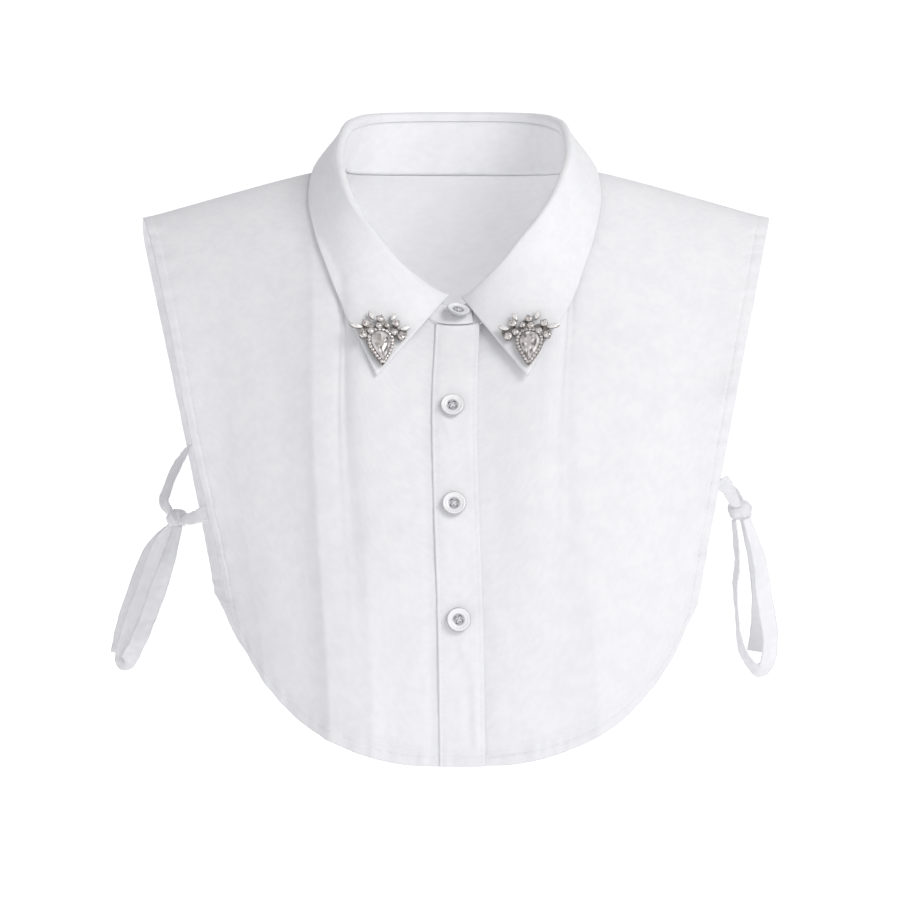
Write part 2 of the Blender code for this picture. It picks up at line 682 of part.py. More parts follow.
def drop_outline(width, height, count):
    """Points of a pear shape that points down, about its own middle."""
    points = []
    for i in range(count):
        angle = 2.0 * math.pi * i / count
        x = 0.735 * width * math.sin(angle) * abs(math.sin(0.5 * angle)) ** 1.2
        points.append((x, -0.5 * height * math.cos(angle)))
    return points


def extruded(points, low, high):
    """Closed prism of an outline in millimetres."""
    bm = bmesh.new()
    base = bm.faces.new([bm.verts.new((x * MM, y * MM, low * MM)) for x, y in points])
    top = bmesh.ops.extrude_face_region(bm, geom=[base])
    raised = [item for item in top["geom"] if isinstance(item, bmesh.types.BMVert)]
    bmesh.ops.translate(bm, verts=raised, vec=(0.0, 0.0, (high - low) * MM))
    bmesh.ops.recalc_face_normals(bm, faces=bm.faces)
    return bm


def crystal_drop():
    """Pear-shaped stone: a flat back, a girdle and a table, in metres."""
    bm = bmesh.new()
    outline = drop_outline(STONE_WIDTH, STONE_HEIGHT, STONE_POINTS)
    rings = [[bm.verts.new((x * MM, y * MM, 0.0)) for x, y in outline]]
    for size, rise in (STONE_GIRDLE, STONE_TABLE):
        height = rise * STONE_RISE * MM
        rings.append([bm.verts.new((x * size * MM, y * size * MM, height)) for x, y in outline])
    for lower, upper in zip(rings, rings[1:]):
        for i in range(STONE_POINTS):
            j = (i + 1) % STONE_POINTS
            bm.faces.new((lower[i], lower[j], upper[j], upper[i]))
    bm.faces.new(rings[0])
    bm.faces.new(rings[-1])
    bmesh.ops.recalc_face_normals(bm, faces=bm.faces)
    return bm


def make_brooch(side, leaf_tree, metal, crystal):
    """Jewelled point: a flat metal back with studs for small stones and one pear stone."""
    x, z = BROOCH_CENTRES[side]
    start = Vector((x * MM, -1.0, z * MM))
    place, normal, _, _ = leaf_tree.ray_cast(start, Vector((0.0, 1.0, 0.0)))
    if normal.y > 0.0:
        normal = -normal
    seat = 0.5 * COLLAR_WALL + BROOCH_SEAT
    frame = frame_at(place / MM + normal * seat, normal)
    mirror = -1.0 if side == "right" else 1.0

    # Lower outline from the pear, upper outline from the crown
    pear = drop_outline(PEAR_WIDTH, PEAR_HEIGHT, PEAR_POINTS)
    lower = [(px, py - PEAR_DROP) for px, py in pear if py < PEAR_SHOULDER]
    lower.sort(key=lambda p: math.atan2(p[0], -(p[1] + PEAR_DROP)))
    outline = [(px * mirror, py) for px, py in lower + list(CROWN_OUTLINE)]
    plate_mesh = extruded(outline, 0.0, PLATE_THICKNESS)
    plate = add_object(f"brooch_{side}_setting", plate_mesh, metal, smooth=False)

    studs = bmesh.new()
    middle = 0.5 * (STUD_FOOT + PLATE_THICKNESS + STUD_HEIGHT) * MM
    foot = 0.5 * STUD_DIAMETER * MM
    depth = (PLATE_THICKNESS + STUD_HEIGHT - STUD_FOOT) * MM
    for px, py in STUD_PLACES:
        stand = Matrix.Translation((px * mirror * MM, py * MM, middle))
        bmesh.ops.create_cone(studs, cap_ends=True, segments=10, radius1=foot,
                              radius2=STUD_TOP_SHARE * foot, depth=depth, matrix=stand)
    cutter = add_object(f"studs_{side}", studs, metal, smooth=False)
    cutter.hide_render = True
    cutter.display_type = "WIRE"
    union = plate.modifiers.new("studs", "BOOLEAN")
    union.operation = "UNION"
    union.object = cutter
    plate.matrix_world = frame
    cutter.matrix_world = frame

    stone = crystal_drop()
    lift = Matrix.Translation((0.0, -PEAR_DROP * MM, (PLATE_THICKNESS + GAP) * MM))
    stone.transform(frame @ lift)
    add_object(f"brooch_{side}_stone", stone, crystal, smooth=False)


def tape_mesh(rows):
    """Flat tape along a path: a one-cell-wide grid, turned and narrowed as its rows say."""
    keyed = tuple((float(i), *row) for i, row in enumerate(rows))
    last = len(rows) - 1
    steps = last * TAPE_STEPS_PER_ROW

    def point_at(u, v):
        key = last * v
        x, y, z, turn, width = read_table(keyed, key)
        ahead = Vector(read_table(keyed, min(key + 0.05, last))[0:3])
        behind = Vector(read_table(keyed, max(key - 0.05, 0.0))[0:3])
        along = (ahead - behind).normalized()
        flat = along.cross(Vector((0.0, 1.0, 0.0))).normalized()
        edge = along.cross(flat)
        angle = math.radians(turn)
        across = flat * math.cos(angle) + edge * math.sin(angle)
        return Vector((x, y, z)) + across * (width * (u - 0.5))

    return grid_mesh(1, steps, point_at)


def armhole_point(point_at, side, height):
    """Point of a panel's armhole edge at a height."""
    low, high = 0.0, 1.0
    for _ in range(HALVINGS):
        v = 0.5 * (low + high)
        if point_at(side, v).z > height:
            low = v
        else:
            high = v
    return point_at(side, v)


def knot_groove(across):
    """The knot is pinched in at its middle, where one tape wraps round the other."""
    return 1.0 - KNOT_PINCH * math.exp(-(across / KNOT_PINCH_WIDTH) ** 2)


def seat_on_knot(row, side, gap):
    """Move the end of a tape straight in, until it all but touches the knot."""
    centre = Vector(KNOT_CENTRES[side])
    radii = KNOT_RADII[side]
    away = Vector(row[0:3]) - centre
    on_ball = Vector(c / r for c, r in zip(away, radii)).normalized()
    surface = Vector(c * r for c, r in zip(on_ball, radii)) * knot_groove(on_ball.x)
    place = centre + away.normalized() * (surface.length + gap)
    return (*place, *row[3:])


def make_ties(material):
    """Four tapes, tied in pairs at the sides: a loop and a tail hang from each knot."""
    for side, sign in (("right", -1.0), ("left", 1.0)):
        starts = {
            f"{side}_front_tie": (front_point, FRONT_TIE_HEIGHT[side], FRONT_TIE_TURN),
            f"{side}_back_tie": (back_point, BACK_TIE_HEIGHT[side], BACK_TIE_TURN),
        }
        for name, table in TIE_TAPES.items():
            if not name.startswith(side):
                continue
            rows = list(table)
            if name in starts:
                point_at, height, turn = starts[name]
                edge = armhole_point(point_at, sign, height)
                inward = TIE_INWARD if point_at is front_point else 0.0
                rows[-1] = seat_on_knot(rows[-1], side, STRAND_SEAT)
                start = (edge.x + sign * TIE_START, edge.y + inward, edge.z)
                rows.insert(0, (*start, turn, TIE_WIDTH))
            else:
                rows[0] = seat_on_knot(rows[0], side, TIE_SEAT)
            if name.endswith("loop"):
                rows[-1] = seat_on_knot(rows[-1], side, TIE_SEAT)
            add_object(name, tape_mesh(rows), material, TIE_WALL)
        knot = bmesh.new()
        bmesh.ops.create_uvsphere(knot, u_segments=14, v_segments=9, radius=1.0)
        for vert in knot.verts:
            size = knot_groove(vert.co.x) * MM
            vert.co = Vector(c * r for c, r in zip(vert.co, KNOT_RADII[side])) * size
        bmesh.ops.translate(knot, verts=knot.verts, vec=Vector(KNOT_CENTRES[side]) * MM)
        add_object(f"{side}_tie_knot", knot, material)


def main():
    clear_scene()
    cotton = make_material("white_cotton", WHITE_COTTON, 0.85, 0.0)
    button = make_material("button_white", BUTTON_WHITE, 0.3, 0.0)
    silver = make_material("bright_silver", BRIGHT_SILVER, 0.25, 1.0)
    crystal = make_material("clear_crystal", CRYSTAL, 0.05, 0.0)
    back = make_back(cotton)
    front_left = make_front_left(cotton)
    front_right = make_front_right(cotton)
    placket = make_placket(cotton)
    make_stand(cotton)
    forward = Vector((0.0, -1.0, 1.0))
    backward = Vector((0.0, 1.0, 1.0))
    form = (
        (front_left, forward),
        (front_right, forward),
        (placket, forward),
        (back, backward),
    )
    leaf_tree = make_leaf(cotton, form)
    make_buttons(button)
    for side in ("right", "left"):
        make_brooch(side, leaf_tree, silver, crystal)
    make_ties(cotton)


main()
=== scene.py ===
"""Looks of a detachable shirt collar in white cotton, with jewelled collar points.

Metres in the scene, millimetres in the tables. The front faces -Y and +X is the
wearer's left. The cloth keeps the hollow form that it has on its wearer.
"""
import math
from functools import lru_cache

import bmesh
import bpy
from mathutils import Matrix, Vector, noise
from mathutils.bvhtree import BVHTree


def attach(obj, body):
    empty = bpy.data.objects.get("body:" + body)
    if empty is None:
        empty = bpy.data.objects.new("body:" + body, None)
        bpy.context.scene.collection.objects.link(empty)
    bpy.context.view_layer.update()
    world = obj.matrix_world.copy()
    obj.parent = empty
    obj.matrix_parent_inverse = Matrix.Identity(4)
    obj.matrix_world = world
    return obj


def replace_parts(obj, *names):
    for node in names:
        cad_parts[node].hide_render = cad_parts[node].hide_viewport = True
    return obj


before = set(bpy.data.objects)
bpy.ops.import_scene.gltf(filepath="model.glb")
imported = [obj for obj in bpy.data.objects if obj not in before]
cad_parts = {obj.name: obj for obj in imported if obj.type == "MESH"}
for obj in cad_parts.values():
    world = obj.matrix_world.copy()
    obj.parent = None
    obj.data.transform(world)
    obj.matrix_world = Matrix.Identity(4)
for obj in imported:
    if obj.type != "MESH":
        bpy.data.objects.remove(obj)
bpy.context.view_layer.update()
scene = bpy.context.scene
MM = 0.001

# View
# The camera stands level, two metres in front, at the height of the bib's middle.
CAMERA_PLACE = (-0.0034, -2.040, -0.1592)
HALF_VIEW = 252.0 / 2000.0          # half the picture's width over its distance
camera_data = bpy.data.cameras.new("camera")
camera_data.lens = 0.5 * camera_data.sensor_width / HALF_VIEW
camera_data.clip_start = 0.05
camera_data.clip_end = 60.0
camera = bpy.data.objects.new("camera", camera_data)
camera.location = CAMERA_PLACE
camera.rotation_euler = (math.radians(90.0), 0.0, 0.0)
scene.collection.objects.link(camera)
scene.camera = camera


# Cotton
# Plain-weave shirt cotton, bleached white, washed and pressed. Threads are 0.25 mm apart
# and follow each piece's own UV map, which is laid out in metres.
COTTON_LIGHT = (0.875, 0.875, 0.885, 1.0)
COTTON_SHADE = (0.835, 0.835, 0.850, 1.0)
COTTON_ROUGHNESS = 0.82
COTTON_SHEEN = 0.12
THREAD_PAIR = 0.0005
THREAD_RELIEF = 0.000035
SLUB_SIZE = 0.004
CRUMPLE_SIZE = 0.011
CRUMPLE_RELIEF = 0.00022


class Signal:
    """A number or colour that runs through a material. Sums on it add Math nodes."""

    def __init__(self, material, socket=None):
        self.material = material
        self.socket = socket

    def node(self, kind, settings=None, inputs=None, output=0):
        """Add a node: settings first, then its sockets' values or links."""
        made = self.material.node_tree.nodes.new(kind)
        for key, value in (settings or {}).items():
            if key == "stops":
                ramp = made.color_ramp.elements
                for element, (place, colour) in zip(ramp, value):
                    element.position = place
                    element.color = colour
                for place, colour in value[len(ramp):]:
                    ramp.new(place).color = colour
            else:
                setattr(made, key, value)
        for key, value in (inputs or {}).items():
            if isinstance(value, Signal):
                self.material.node_tree.links.new(value.socket, made.inputs[key])
            else:
                made.inputs[key].default_value = value
        return Signal(self.material, made.outputs[output])

    def maths(self, operation, *others):
        values = dict(enumerate((self, *others)))
        return self.node("ShaderNodeMath", {"operation": operation}, values)

    def __add__(self, other):
        return self.maths("ADD", other)

    def __mul__(self, other):
        return self.maths("MULTIPLY", other)

    def __sub__(self, other):
        return self.maths("SUBTRACT", other)

    def __rsub__(self, other):
        return self.node("ShaderNodeMath", {"operation": "SUBTRACT"}, {0: other, 1: self})

    __radd__ = __add__
    __rmul__ = __mul__

    def sine(self):
        return self.maths("SINE")

    def between(self, low, high):
        """Runs from 0 at low to 1 at high, and stays there."""
        return self.node("ShaderNodeMapRange", {"interpolation_type": "SMOOTHSTEP"},
                         {"Value": self, "From Min": low, "From Max": high})

    def colours(self, first, second):
        """Mix of two colours by this number."""
        inputs = {"Factor": self, 6: first, 7: second}
        return self.node("ShaderNodeMix", {"data_type": "RGBA"}, inputs, 2)


def finish(name, metallic=0.0):
    """New material: its name, its shader and a signal to start from."""
    material = bpy.data.materials.new(name)
    material.use_nodes = True
    shader = material.node_tree.nodes["Principled BSDF"]
    shader.inputs["Metallic"].default_value = metallic
    return material, shader, Signal(material)


def feed(signal, shader, socket):
    signal.material.node_tree.links.new(signal.socket, shader.inputs[socket])


def cotton_finish(name, light, shade, crumple):
    material, shader, start = finish(name)
    place = start.node("ShaderNodeTexCoord", output="UV")
    across = start.node("ShaderNodeSeparateXYZ", inputs={0: place}, output=0)
    along = start.node("ShaderNodeSeparateXYZ", inputs={0: place}, output=1)
    turns = 2.0 * math.pi / THREAD_PAIR
    weave = (across * turns).sine() * (along * turns).sine()
    solid = start.node("ShaderNodeTexCoord", output="Object")
    slub = start.node("ShaderNodeTexNoise", inputs={
        "Vector": place, "Scale": 1.0 / SLUB_SIZE, "Detail": 2.0})
    crumple_noise = start.node("ShaderNodeTexNoise", inputs={
        "Vector": solid, "Scale": 1.0 / CRUMPLE_SIZE, "Detail": 4.0, "Roughness": 0.55})
    # The base colour follows the slub noise and the noise of the crumple bump, and is a little
    # darker where the crumple bump is low.
    tone = slub * 0.45 + crumple_noise * 0.55
    feed(tone.between(0.35, 0.65).colours(shade, light), shader, "Base Color")
    feed(COTTON_ROUGHNESS + (slub - 0.5) * 0.12, shader, "Roughness")
    shader.inputs["Sheen Weight"].default_value = COTTON_SHEEN
    shader.inputs["Sheen Roughness"].default_value = 0.6
    creased = start.node("ShaderNodeBump", inputs={
        "Strength": 1.0, "Distance": crumple, "Height": crumple_noise})
    woven = start.node("ShaderNodeBump", inputs={
        "Strength": 0.5, "Distance": THREAD_RELIEF, "Height": weave + slub,
        "Normal": creased})
    feed(woven, shader, "Normal")
    return material


cotton = cotton_finish("cotton", COTTON_LIGHT, COTTON_SHADE, CRUMPLE_RELIEF)


# Bib fronts
# Two front panels of one layer of cotton, cut with the neck curve, the shoulder line and
# an armhole that runs on into the round hem. Armhole and hem are turned in 7 mm and sewn.
FRONT_LEFT_CUT = (0.195, 0.345)
FRONT_RIGHT_CUT = (0.175, 0.345)
CLOTH_WALL = 0.6
SHOULDER_GAP = 0.12
NECK_EDGE = 0.72
SIDE_NECK = Vector((64.0, 0.0, 0.0))
SHOULDER_TIP = Vector((179.5, 8.0, -26.8))
SHOULDER_HUMP = 3.2       # the shoulder line rises this much over a straight one
NECK_SHARE = 0.4
PLACKET_WIDTH = 24.5
PLACKET_CENTRE = 1.2
UNDER_PLACKET = 3.0                 # the sewn edge at -X runs this far under the placket
UNDERLAP_EDGE = -10.5
UNDERLAP_SET_BACK = 1.45
UNDERLAP_RAMP = (16.0, 42.0)
HEM_TURN = 7.0
HEM_STITCHES = 5.6                  # distance of the seam from the edge
FRONT_COLUMNS = 128
FRONT_ROWS = 136

# Collar sections from centre front over the side neck (7) to centre back (11)
# station, seam x, y, z, fold x, y, z, edge x, y, z
COLLAR_SECTIONS = (
    (0.0, 0.0, -61.0, -90.3, 0.0, -45.0, -75.8, 35.5, -90.0, -128.0),
    (0.45, 6.3, -60.7, -89.9, 6.0, -46.5, -74.9, 41.1, -86.3, -118.7),
    (1.0, 14.0, -59.0, -87.8, 13.0, -51.0, -70.6, 49.0, -78.5, -104.1),
    (2.0, 28.0, -56.0, -80.5, 27.0, -55.0, -56.5, 57.0, -70.0, -89.5),
    (3.0, 40.0, -52.5, -70.0, 38.5, -55.0, -41.3, 64.8, -60.0, -76.0),
    (4.0, 50.0, -46.5, -56.0, 48.7, -52.5, -27.3, 71.5, -49.0, -58.0),
    (5.0, 57.5, -37.0, -38.5, 57.3, -46.5, -11.0, 78.0, -36.5, -39.0),
    (6.0, 62.5, -21.5, -18.0, 62.8, -32.0, 8.0, 82.3, -19.5, -17.2),
    (7.0, 64.0, 0.0, 0.0, 60.0, -12.0, 24.0, 79.6, 1.5, 3.8),
    (8.0, 61.0, 17.0, 0.2, 54.0, 9.5, 31.0, 72.0, 22.5, -0.5),
    (9.0, 49.0, 34.0, 0.8, 43.0, 32.0, 35.4, 60.0, 46.0, -1.5),
    (10.0, 27.0, 45.5, 1.5, 24.0, 43.5, 37.3, 34.0, 58.5, -3.0),
    (11.0, 0.0, 49.0, 1.8, 0.0, 47.0, 37.8, 0.0, 62.0, -3.5),
)
# The collar's front hangs a little towards the wearer's right.
# station, shift in x of the fold, of the leaf's edge
COLLAR_SHIFT = (
    (0.0, -0.6, -2.4),
    (0.45, -0.9, -2.3),
    (1.0, -1.5, -1.8),
    (2.0, -2.8, -1.1),
    (3.0, -3.1, -0.5),
    (5.0, -2.2, -0.5),
    (7.0, -0.6, -0.6),
    (11.0, 0.0, 0.0),
)
SHOULDER_STATION = 7.0
BACK_STATION = 11.0

# Sections of the front from centre front (0) to the armhole (1)
# share, lead x, y, z from the top edge, hem x, y, z, rise x, y, z from the hem
FRONT_SECTIONS = (
    (0.00, 0.0, -30.0, -45.0, 0.0, -128.0, -328.5, 0.0, -2.0, 95.0),
    (0.10, 0.0, -29.0, -43.0, 13.0, -127.7, -328.3, 1.0, -2.5, 100.0),
    (0.20, 0.5, -26.0, -39.0, 28.0, -126.8, -327.6, 2.0, -3.0, 110.0),
    (0.30, 1.0, -22.0, -34.0, 42.0, -125.0, -325.2, 3.0, -4.0, 125.0),
    (0.36, 1.0, -20.0, -20.0, 50.0, -123.5, -323.0, 4.0, -4.0, 130.0),
    (0.40, 1.0, -24.0, -3.0, 57.0, -122.0, -320.8, 5.0, -4.0, 130.0),
    (0.50, 1.0, -24.0, -4.0, 74.0, -117.0, -313.4, 6.0, -3.0, 128.0),
    (0.65, 1.0, -24.0, -4.0, 94.0, -110.0, -299.6, 8.0, -1.0, 118.0),
    (0.82, 0.0, -24.0, -4.0, 114.3, -98.5, -276.2, 11.0, 3.0, 98.0),
    (1.00, -2.0, -23.0, -4.5, 132.0, -87.0, -242.8, 14.0, 2.0, 78.0),
)

# Large folds: crest line x, z at the top and the low end, rise at both, flank widths
FRONT_FOLDS = (
    (-82.0, -22.0, -69.5, -330.0, 5.0, 10.0, 14.0, 55.0),
    (-50.0, -196.0, -47.0, -332.0, 0.0, 2.6, 26.0, 5.0),
    (-49.0, -203.0, -9.0, -246.0, 1.0, 1.2, 7.0, 7.0),
    (63.0, -96.0, 77.5, -330.0, 1.5, 10.5, 24.0, 48.0),
    (99.0, -18.0, 141.0, -112.0, -1.0, -2.6, 15.0, 13.0),
    (149.0, -160.0, 122.0, -250.0, -2.0, -1.4, 9.0, 8.0),
    (-128.0, -120.0, -108.0, -276.0, 0.6, 3.2, 16.0, 22.0),
)
# Small creases: x, z at the top and the low end, rise, width.
# A negative rise is a dent.
FRONT_CREASES = (
    (-15.2, -96.0, -15.2, -336.0, -0.55, 2.4),
    (15.8, -96.0, 15.8, -336.0, -0.40, 2.4),
    (-18.0, -118.0, -21.0, -215.0, -0.35, 5.0),
    (-30.0, -150.0, -16.0, -186.0, 0.35, 4.0),
    (-14.0, -133.0, -40.0, -152.0, 0.30, 3.5),
    (-13.0, -187.0, -34.0, -214.0, 0.35, 4.0),
    (-13.0, -249.0, -33.0, -300.0, 0.30, 4.0),
    (-108.0, -60.0, -96.0, -150.0, -0.50, 9.0),
    (-150.0, -60.0, -118.0, -96.0, 0.55, 6.0),
    (-140.0, -185.0, -96.0, -222.0, 0.65, 6.0),
    (-138.0, -196.0, -104.0, -262.0, -0.55, 7.0),
    (-92.0, -42.0, -76.0, -70.0, -0.90, 6.0),
    (16.0, -120.0, 23.0, -210.0, -0.35, 5.0),
    (17.0, -245.0, 40.0, -318.0, 0.40, 5.0),
    (28.0, -140.0, 44.0, -230.0, 0.30, 6.0),
    (88.0, -60.0, 98.0, -190.0, 0.55, 9.0),
    (112.0, -120.0, 128.0, -215.0, 0.60, 8.0),
    (146.0, -178.0, 104.0, -230.0, 0.55, 6.0),
    (142.0, -182.0, 118.0, -268.0, -0.45, 6.0),
    (84.0, -250.0, 90.0, -322.0, -0.50, 7.0),
)
FOLD_FADE = 0.22
FOLD_START = 0.2
BACK_SHIFT = -1.5
LEFT_SIDE_TUCK = 3.5
LEFT_HEM_TUCK = 6.5                 # the hem at -X hangs further in than at +X
# Lean of the placket's centre line: height z, shift x
PLACKET_LEAN = (
    (-340.0, 2.2),
    (-252.0, 0.8),
    (-187.0, -1.4),
    (-135.0, -2.2),
    (-84.0, 0.0),
)


def read_table(table, key):
    """Values of a table at any key, on a smooth curve through its rows."""
    last = len(table) - 1
    i = 0
    while i < last - 1 and key > table[i + 1][0]:
        i += 1
    start, end = table[i], table[i + 1]
    before, after = table[max(i - 1, 0)], table[min(i + 2, last)]
    span = end[0] - start[0]
    f = (key - start[0]) / span
    weight_end = f * f * (3.0 - 2.0 * f)
    lean_start = f * (1.0 - f) ** 2
    lean_end = -f * f * (1.0 - f)
    values = []
    for column in range(1, len(start)):
        slope_start = (end[column] - before[column]) / (end[0] - before[0])
        slope_end = (after[column] - start[column]) / (after[0] - start[0])
        level = start[column] + (end[column] - start[column]) * weight_end
        values.append(level + span * (slope_start * lean_start + slope_end * lean_end))
    return values


def bezier(p0, p1, p2, p3, t):
    s = 1.0 - t
    return p0 * s ** 3 + p1 * (3.0 * s * s * t) + p2 * (3.0 * s * t * t) + p3 * t ** 3


def smooth_step(low, high, value):
    f = min(max((value - low) / (high - low), 0.0), 1.0)
    return f * f * (3.0 - 2.0 * f)


@lru_cache(maxsize=None)
def collar_row(station):
    row = read_table(COLLAR_SECTIONS, station)
    return Vector(row[0:3]), Vector(row[3:6]), Vector(row[6:9])


def collar_section(station, side=1.0):
    """Seam, fold and leaf edge of the collar at a station, on the +X or -X side."""
    mirror = Vector((side, 1.0, 1.0))
    seam, fold, edge = (point * mirror for point in collar_row(station))
    fold_shift, edge_shift = read_table(COLLAR_SHIFT, station)
    fold.x += fold_shift
    edge.x += edge_shift
    return seam, fold, edge


def line_place(x, z, x_top, z_top, x_low, z_low):
    """How far a place lies along a crest line (0 to 1), and across it in millimetres."""
    run_x, run_z = x_low - x_top, z_low - z_top
    length = math.hypot(run_x, run_z)
    along = ((x - x_top) * run_x + (z - z_top) * run_z) / (length * length)
    across = ((z - z_top) * run_x - (x - x_top) * run_z) / length
    return along, across


def fold_rise(folds, x, z):
    """How far the large folds lift the cloth at a place in the front or back view."""
    total = 0.0
    for x_top, z_top, x_low, z_low, rise_top, rise_low, left, right in folds:
        along, across = line_place(x, z, x_top, z_top, x_low, z_low)
        start = smooth_step(0.0, FOLD_FADE, along + 0.5 * FOLD_FADE)
        end = 1.0 - smooth_step(1.0, 1.0 + FOLD_FADE, along)
        rise = rise_top + (rise_low - rise_top) * min(max(along, 0.0), 1.0)
        if across < 0.0:
            shape = math.exp(across / left)
        else:
            shape = 1.0 / (1.0 + (across / right) ** 2)
        total += rise * start * end * shape
    return total


def crease_rise(creases, x, z):
    """Lift of the small creases, and a slow unevenness that no pressed cloth is without."""
    total = 0.55 * noise.noise(Vector((x / 38.0, z / 52.0, 3.1)))
    total += 0.16 * noise.noise(Vector((x / 13.0, z / 17.0, 8.7)))
    for x_top, z_top, x_low, z_low, rise, width in creases:
        along, across = line_place(x, z, x_top, z_top, x_low, z_low)
        if -0.3 < along < 1.3:
            ends = smooth_step(-0.3, 0.25, along) * (1.0 - smooth_step(0.75, 1.3, along))
            total += rise * ends * math.exp(-(across / width) ** 2)
    return total


def panel_point(sections, station_of, folds, creases, facing, share, v):
    """Point of a bib panel. share runs from the centre line (0) to an armhole (1 or -1),
    v from the top edge (0) to the hem (1), and facing is -1 at the front, 1 at the back."""
    side = 1.0 if share >= 0.0 else -1.0
    width = abs(share)
    row = read_table(sections, width)
    lead = Vector(row[0:3])
    if width < NECK_SHARE:
        part = width / NECK_SHARE
        seam = collar_row(station_of(part))[0]
        outward = Vector((seam.x, 0.5 * seam.y, -0.8 * abs(seam.y))).normalized()
        top = seam + outward * NECK_EDGE
        seam_gap = SHOULDER_GAP * part ** 8
    else:
        part = (width - NECK_SHARE) / (1.0 - NECK_SHARE)
        edge = SIDE_NECK + Vector((NECK_EDGE, 0.0, 0.0))
        top = edge.lerp(SHOULDER_TIP, part)
        top.z += SHOULDER_HUMP * math.sin(math.pi * part ** 0.45)
        seam_gap = SHOULDER_GAP
    hem = Vector(row[3:6])
    start = seam_gap / (3.0 * lead.length)
    t = start + (1.0 - start) * v
    point = bezier(top, top + lead, hem + Vector(row[6:9]), hem, t)
    point.x *= side
    near_seam = smooth_step(0.0, FOLD_START, v)
    rise = fold_rise(folds, point.x, point.z)
    rise += crease_rise(creases, point.x, point.z)
    point.y += facing * rise * near_seam
    return point


@lru_cache(maxsize=None)
def front_form(share, v, creases):
    def station_of(part):
        return SHOULDER_STATION * part

    point = panel_point(FRONT_SECTIONS, station_of, FRONT_FOLDS, creases, -1.0, share, v)
    lean = read_table(PLACKET_LEAN, min(max(point.z, -340.0), -84.0))[0]
    point.x += lean * (1.0 - smooth_step(0.25, 0.9, abs(share)))
    if share < 0.0:
        point.x += LEFT_SIDE_TUCK * math.sin(math.pi * v) ** 0.8 * abs(share) ** 4
        point.x += LEFT_HEM_TUCK * smooth_step(0.6, 1.0, v) * share * share
    return point


def front_point(share, v):
    return front_form(share, v, FRONT_CREASES).copy()


def surface_normal(point_at, share, v, facing):
    """Outward direction of a panel at a place, from its points close by."""
    step = 0.004
    across = point_at(share + step, v) - point_at(share - step, v)
    down = point_at(share, min(v + step, 1.0)) - point_at(share, max(v - step, 0.0))
    normal = across.cross(down).normalized()
    return normal if normal.y * facing > 0.0 else -normal


@lru_cache(maxsize=None)
def share_at(x, v):
    """Place across the bib front whose point lies at x, at a height v."""
    low, high = -0.5, 0.5
    for _ in range(24):
        middle = 0.5 * (low + high)
        if front_form(middle, v, FRONT_CREASES).x < x:
            low = middle
        else:
            high = middle
    return 0.5 * (low + high)


@lru_cache(maxsize=None)
def placket_lean(v):
    height = front_form(0.0, v, FRONT_CREASES).z
    return read_table(PLACKET_LEAN, min(max(height, -340.0), -84.0))[0]


def close_to_end(u, band, fine):
    """Spreads grid lines so that a part `fine` of them lies in the last `band` of the way."""
    if u < 1.0 - fine:
        return u / (1.0 - fine) * (1.0 - band)
    return 1.0 - band * (1.0 - u) / fine


HEM_BAND = 0.035                    # part of a panel's height taken by the finer rows
HEM_FINE = 0.12                     # part of the rows that lie there
ARMHOLE_BAND = 0.07
ARMHOLE_FINE = 0.12


def armhole_width(v):
    """Width of a panel beside its armhole for one unit of share, in millimetres."""
    return 192.0 + (85.0 - 192.0) * v


def sewn_edge(sections, share, v, place, facing):
    """How far a turned and sewn edge lifts or draws in the cloth near hem and armhole."""
    row = read_table(sections, abs(share))
    from_hem = (1.0 - v) * 3.0 * Vector(row[6:9]).length
    from_arm = (1.0 - abs(share)) * armhole_width(v)
    distance = min(from_hem, from_arm)
    if distance > 2.0 * HEM_TURN:
        return 0.0
    step = 0.22 * (1.0 - smooth_step(HEM_STITCHES - 0.8, HEM_STITCHES + 1.2, distance))
    dent = -0.30 * math.exp(-((distance - HEM_STITCHES) / 0.75) ** 2)
    along = place.x if from_hem < from_arm else place.z
    gather = noise.noise(Vector((along / 4.2, 5.0 * facing, 0.4)))
    gather += 0.6 * noise.noise(Vector((along / 11.0, 5.0 * facing, 7.9)))
    reach = 1.0 - smooth_step(HEM_STITCHES, 1.9 * HEM_TURN, distance)
    return step + dent + 0.75 * gather * reach


def cloth_sheet(name, columns, rows, size, point_at, wall, material):
    """A cloth piece from a grid. point_at(u, v) gives millimetres, u and v from 0 to 1.
    size is the flat piece in metres, for the weave. Gives the object and a search tree."""
    bm = bmesh.new()
    uv_layer = bm.loops.layers.uv.new("UVMap")
    bmesh.ops.create_grid(bm, x_segments=columns, y_segments=rows, size=1.0)
    for face in bm.faces:
        face.smooth = True
        for loop in face.loops:
            flat = loop.vert.co
            loop[uv_layer].uv = (0.5 * flat.x * size[0], 0.5 * flat.y * size[1])
    for vert in bm.verts:
        u = round(0.5 * (vert.co.x + 1.0), 6)
        v = round(0.5 * (1.0 - vert.co.y), 6)
        vert.co = point_at(u, v) * MM
    bm.normal_update()
    tree = BVHTree.FromBMesh(bm)
    mesh = bpy.data.meshes.new(name)
    bm.to_mesh(mesh)
    bm.free()
    mesh.materials.append(material)
    piece = bpy.data.objects.new(name, mesh)
    scene.collection.objects.link(piece)
    solid = piece.modifiers.new("cloth wall", "SOLIDIFY")
    solid.thickness = wall * MM
    solid.offset = 0.0
    solid.use_even_offset = True
    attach(piece, "root")
    return piece, tree


def finished_front(share, v):
    place = front_point(share, v)
    lift = sewn_edge(FRONT_SECTIONS, share, v, place, -1.0)
    if lift:
        place += surface_normal(front_point, share, v, -1.0) * lift
    return place


def front_right_point(u, v):
    v = round(close_to_end(v, HEM_BAND, HEM_FINE), 6)
    edge = PLACKET_CENTRE - 0.5 * PLACKET_WIDTH + UNDER_PLACKET + placket_lean(v)
    inner = share_at(round(edge, 4), v)
    u = close_to_end(u, ARMHOLE_BAND, ARMHOLE_FINE)
    return finished_front(inner + (-1.0 - inner) * u, v)


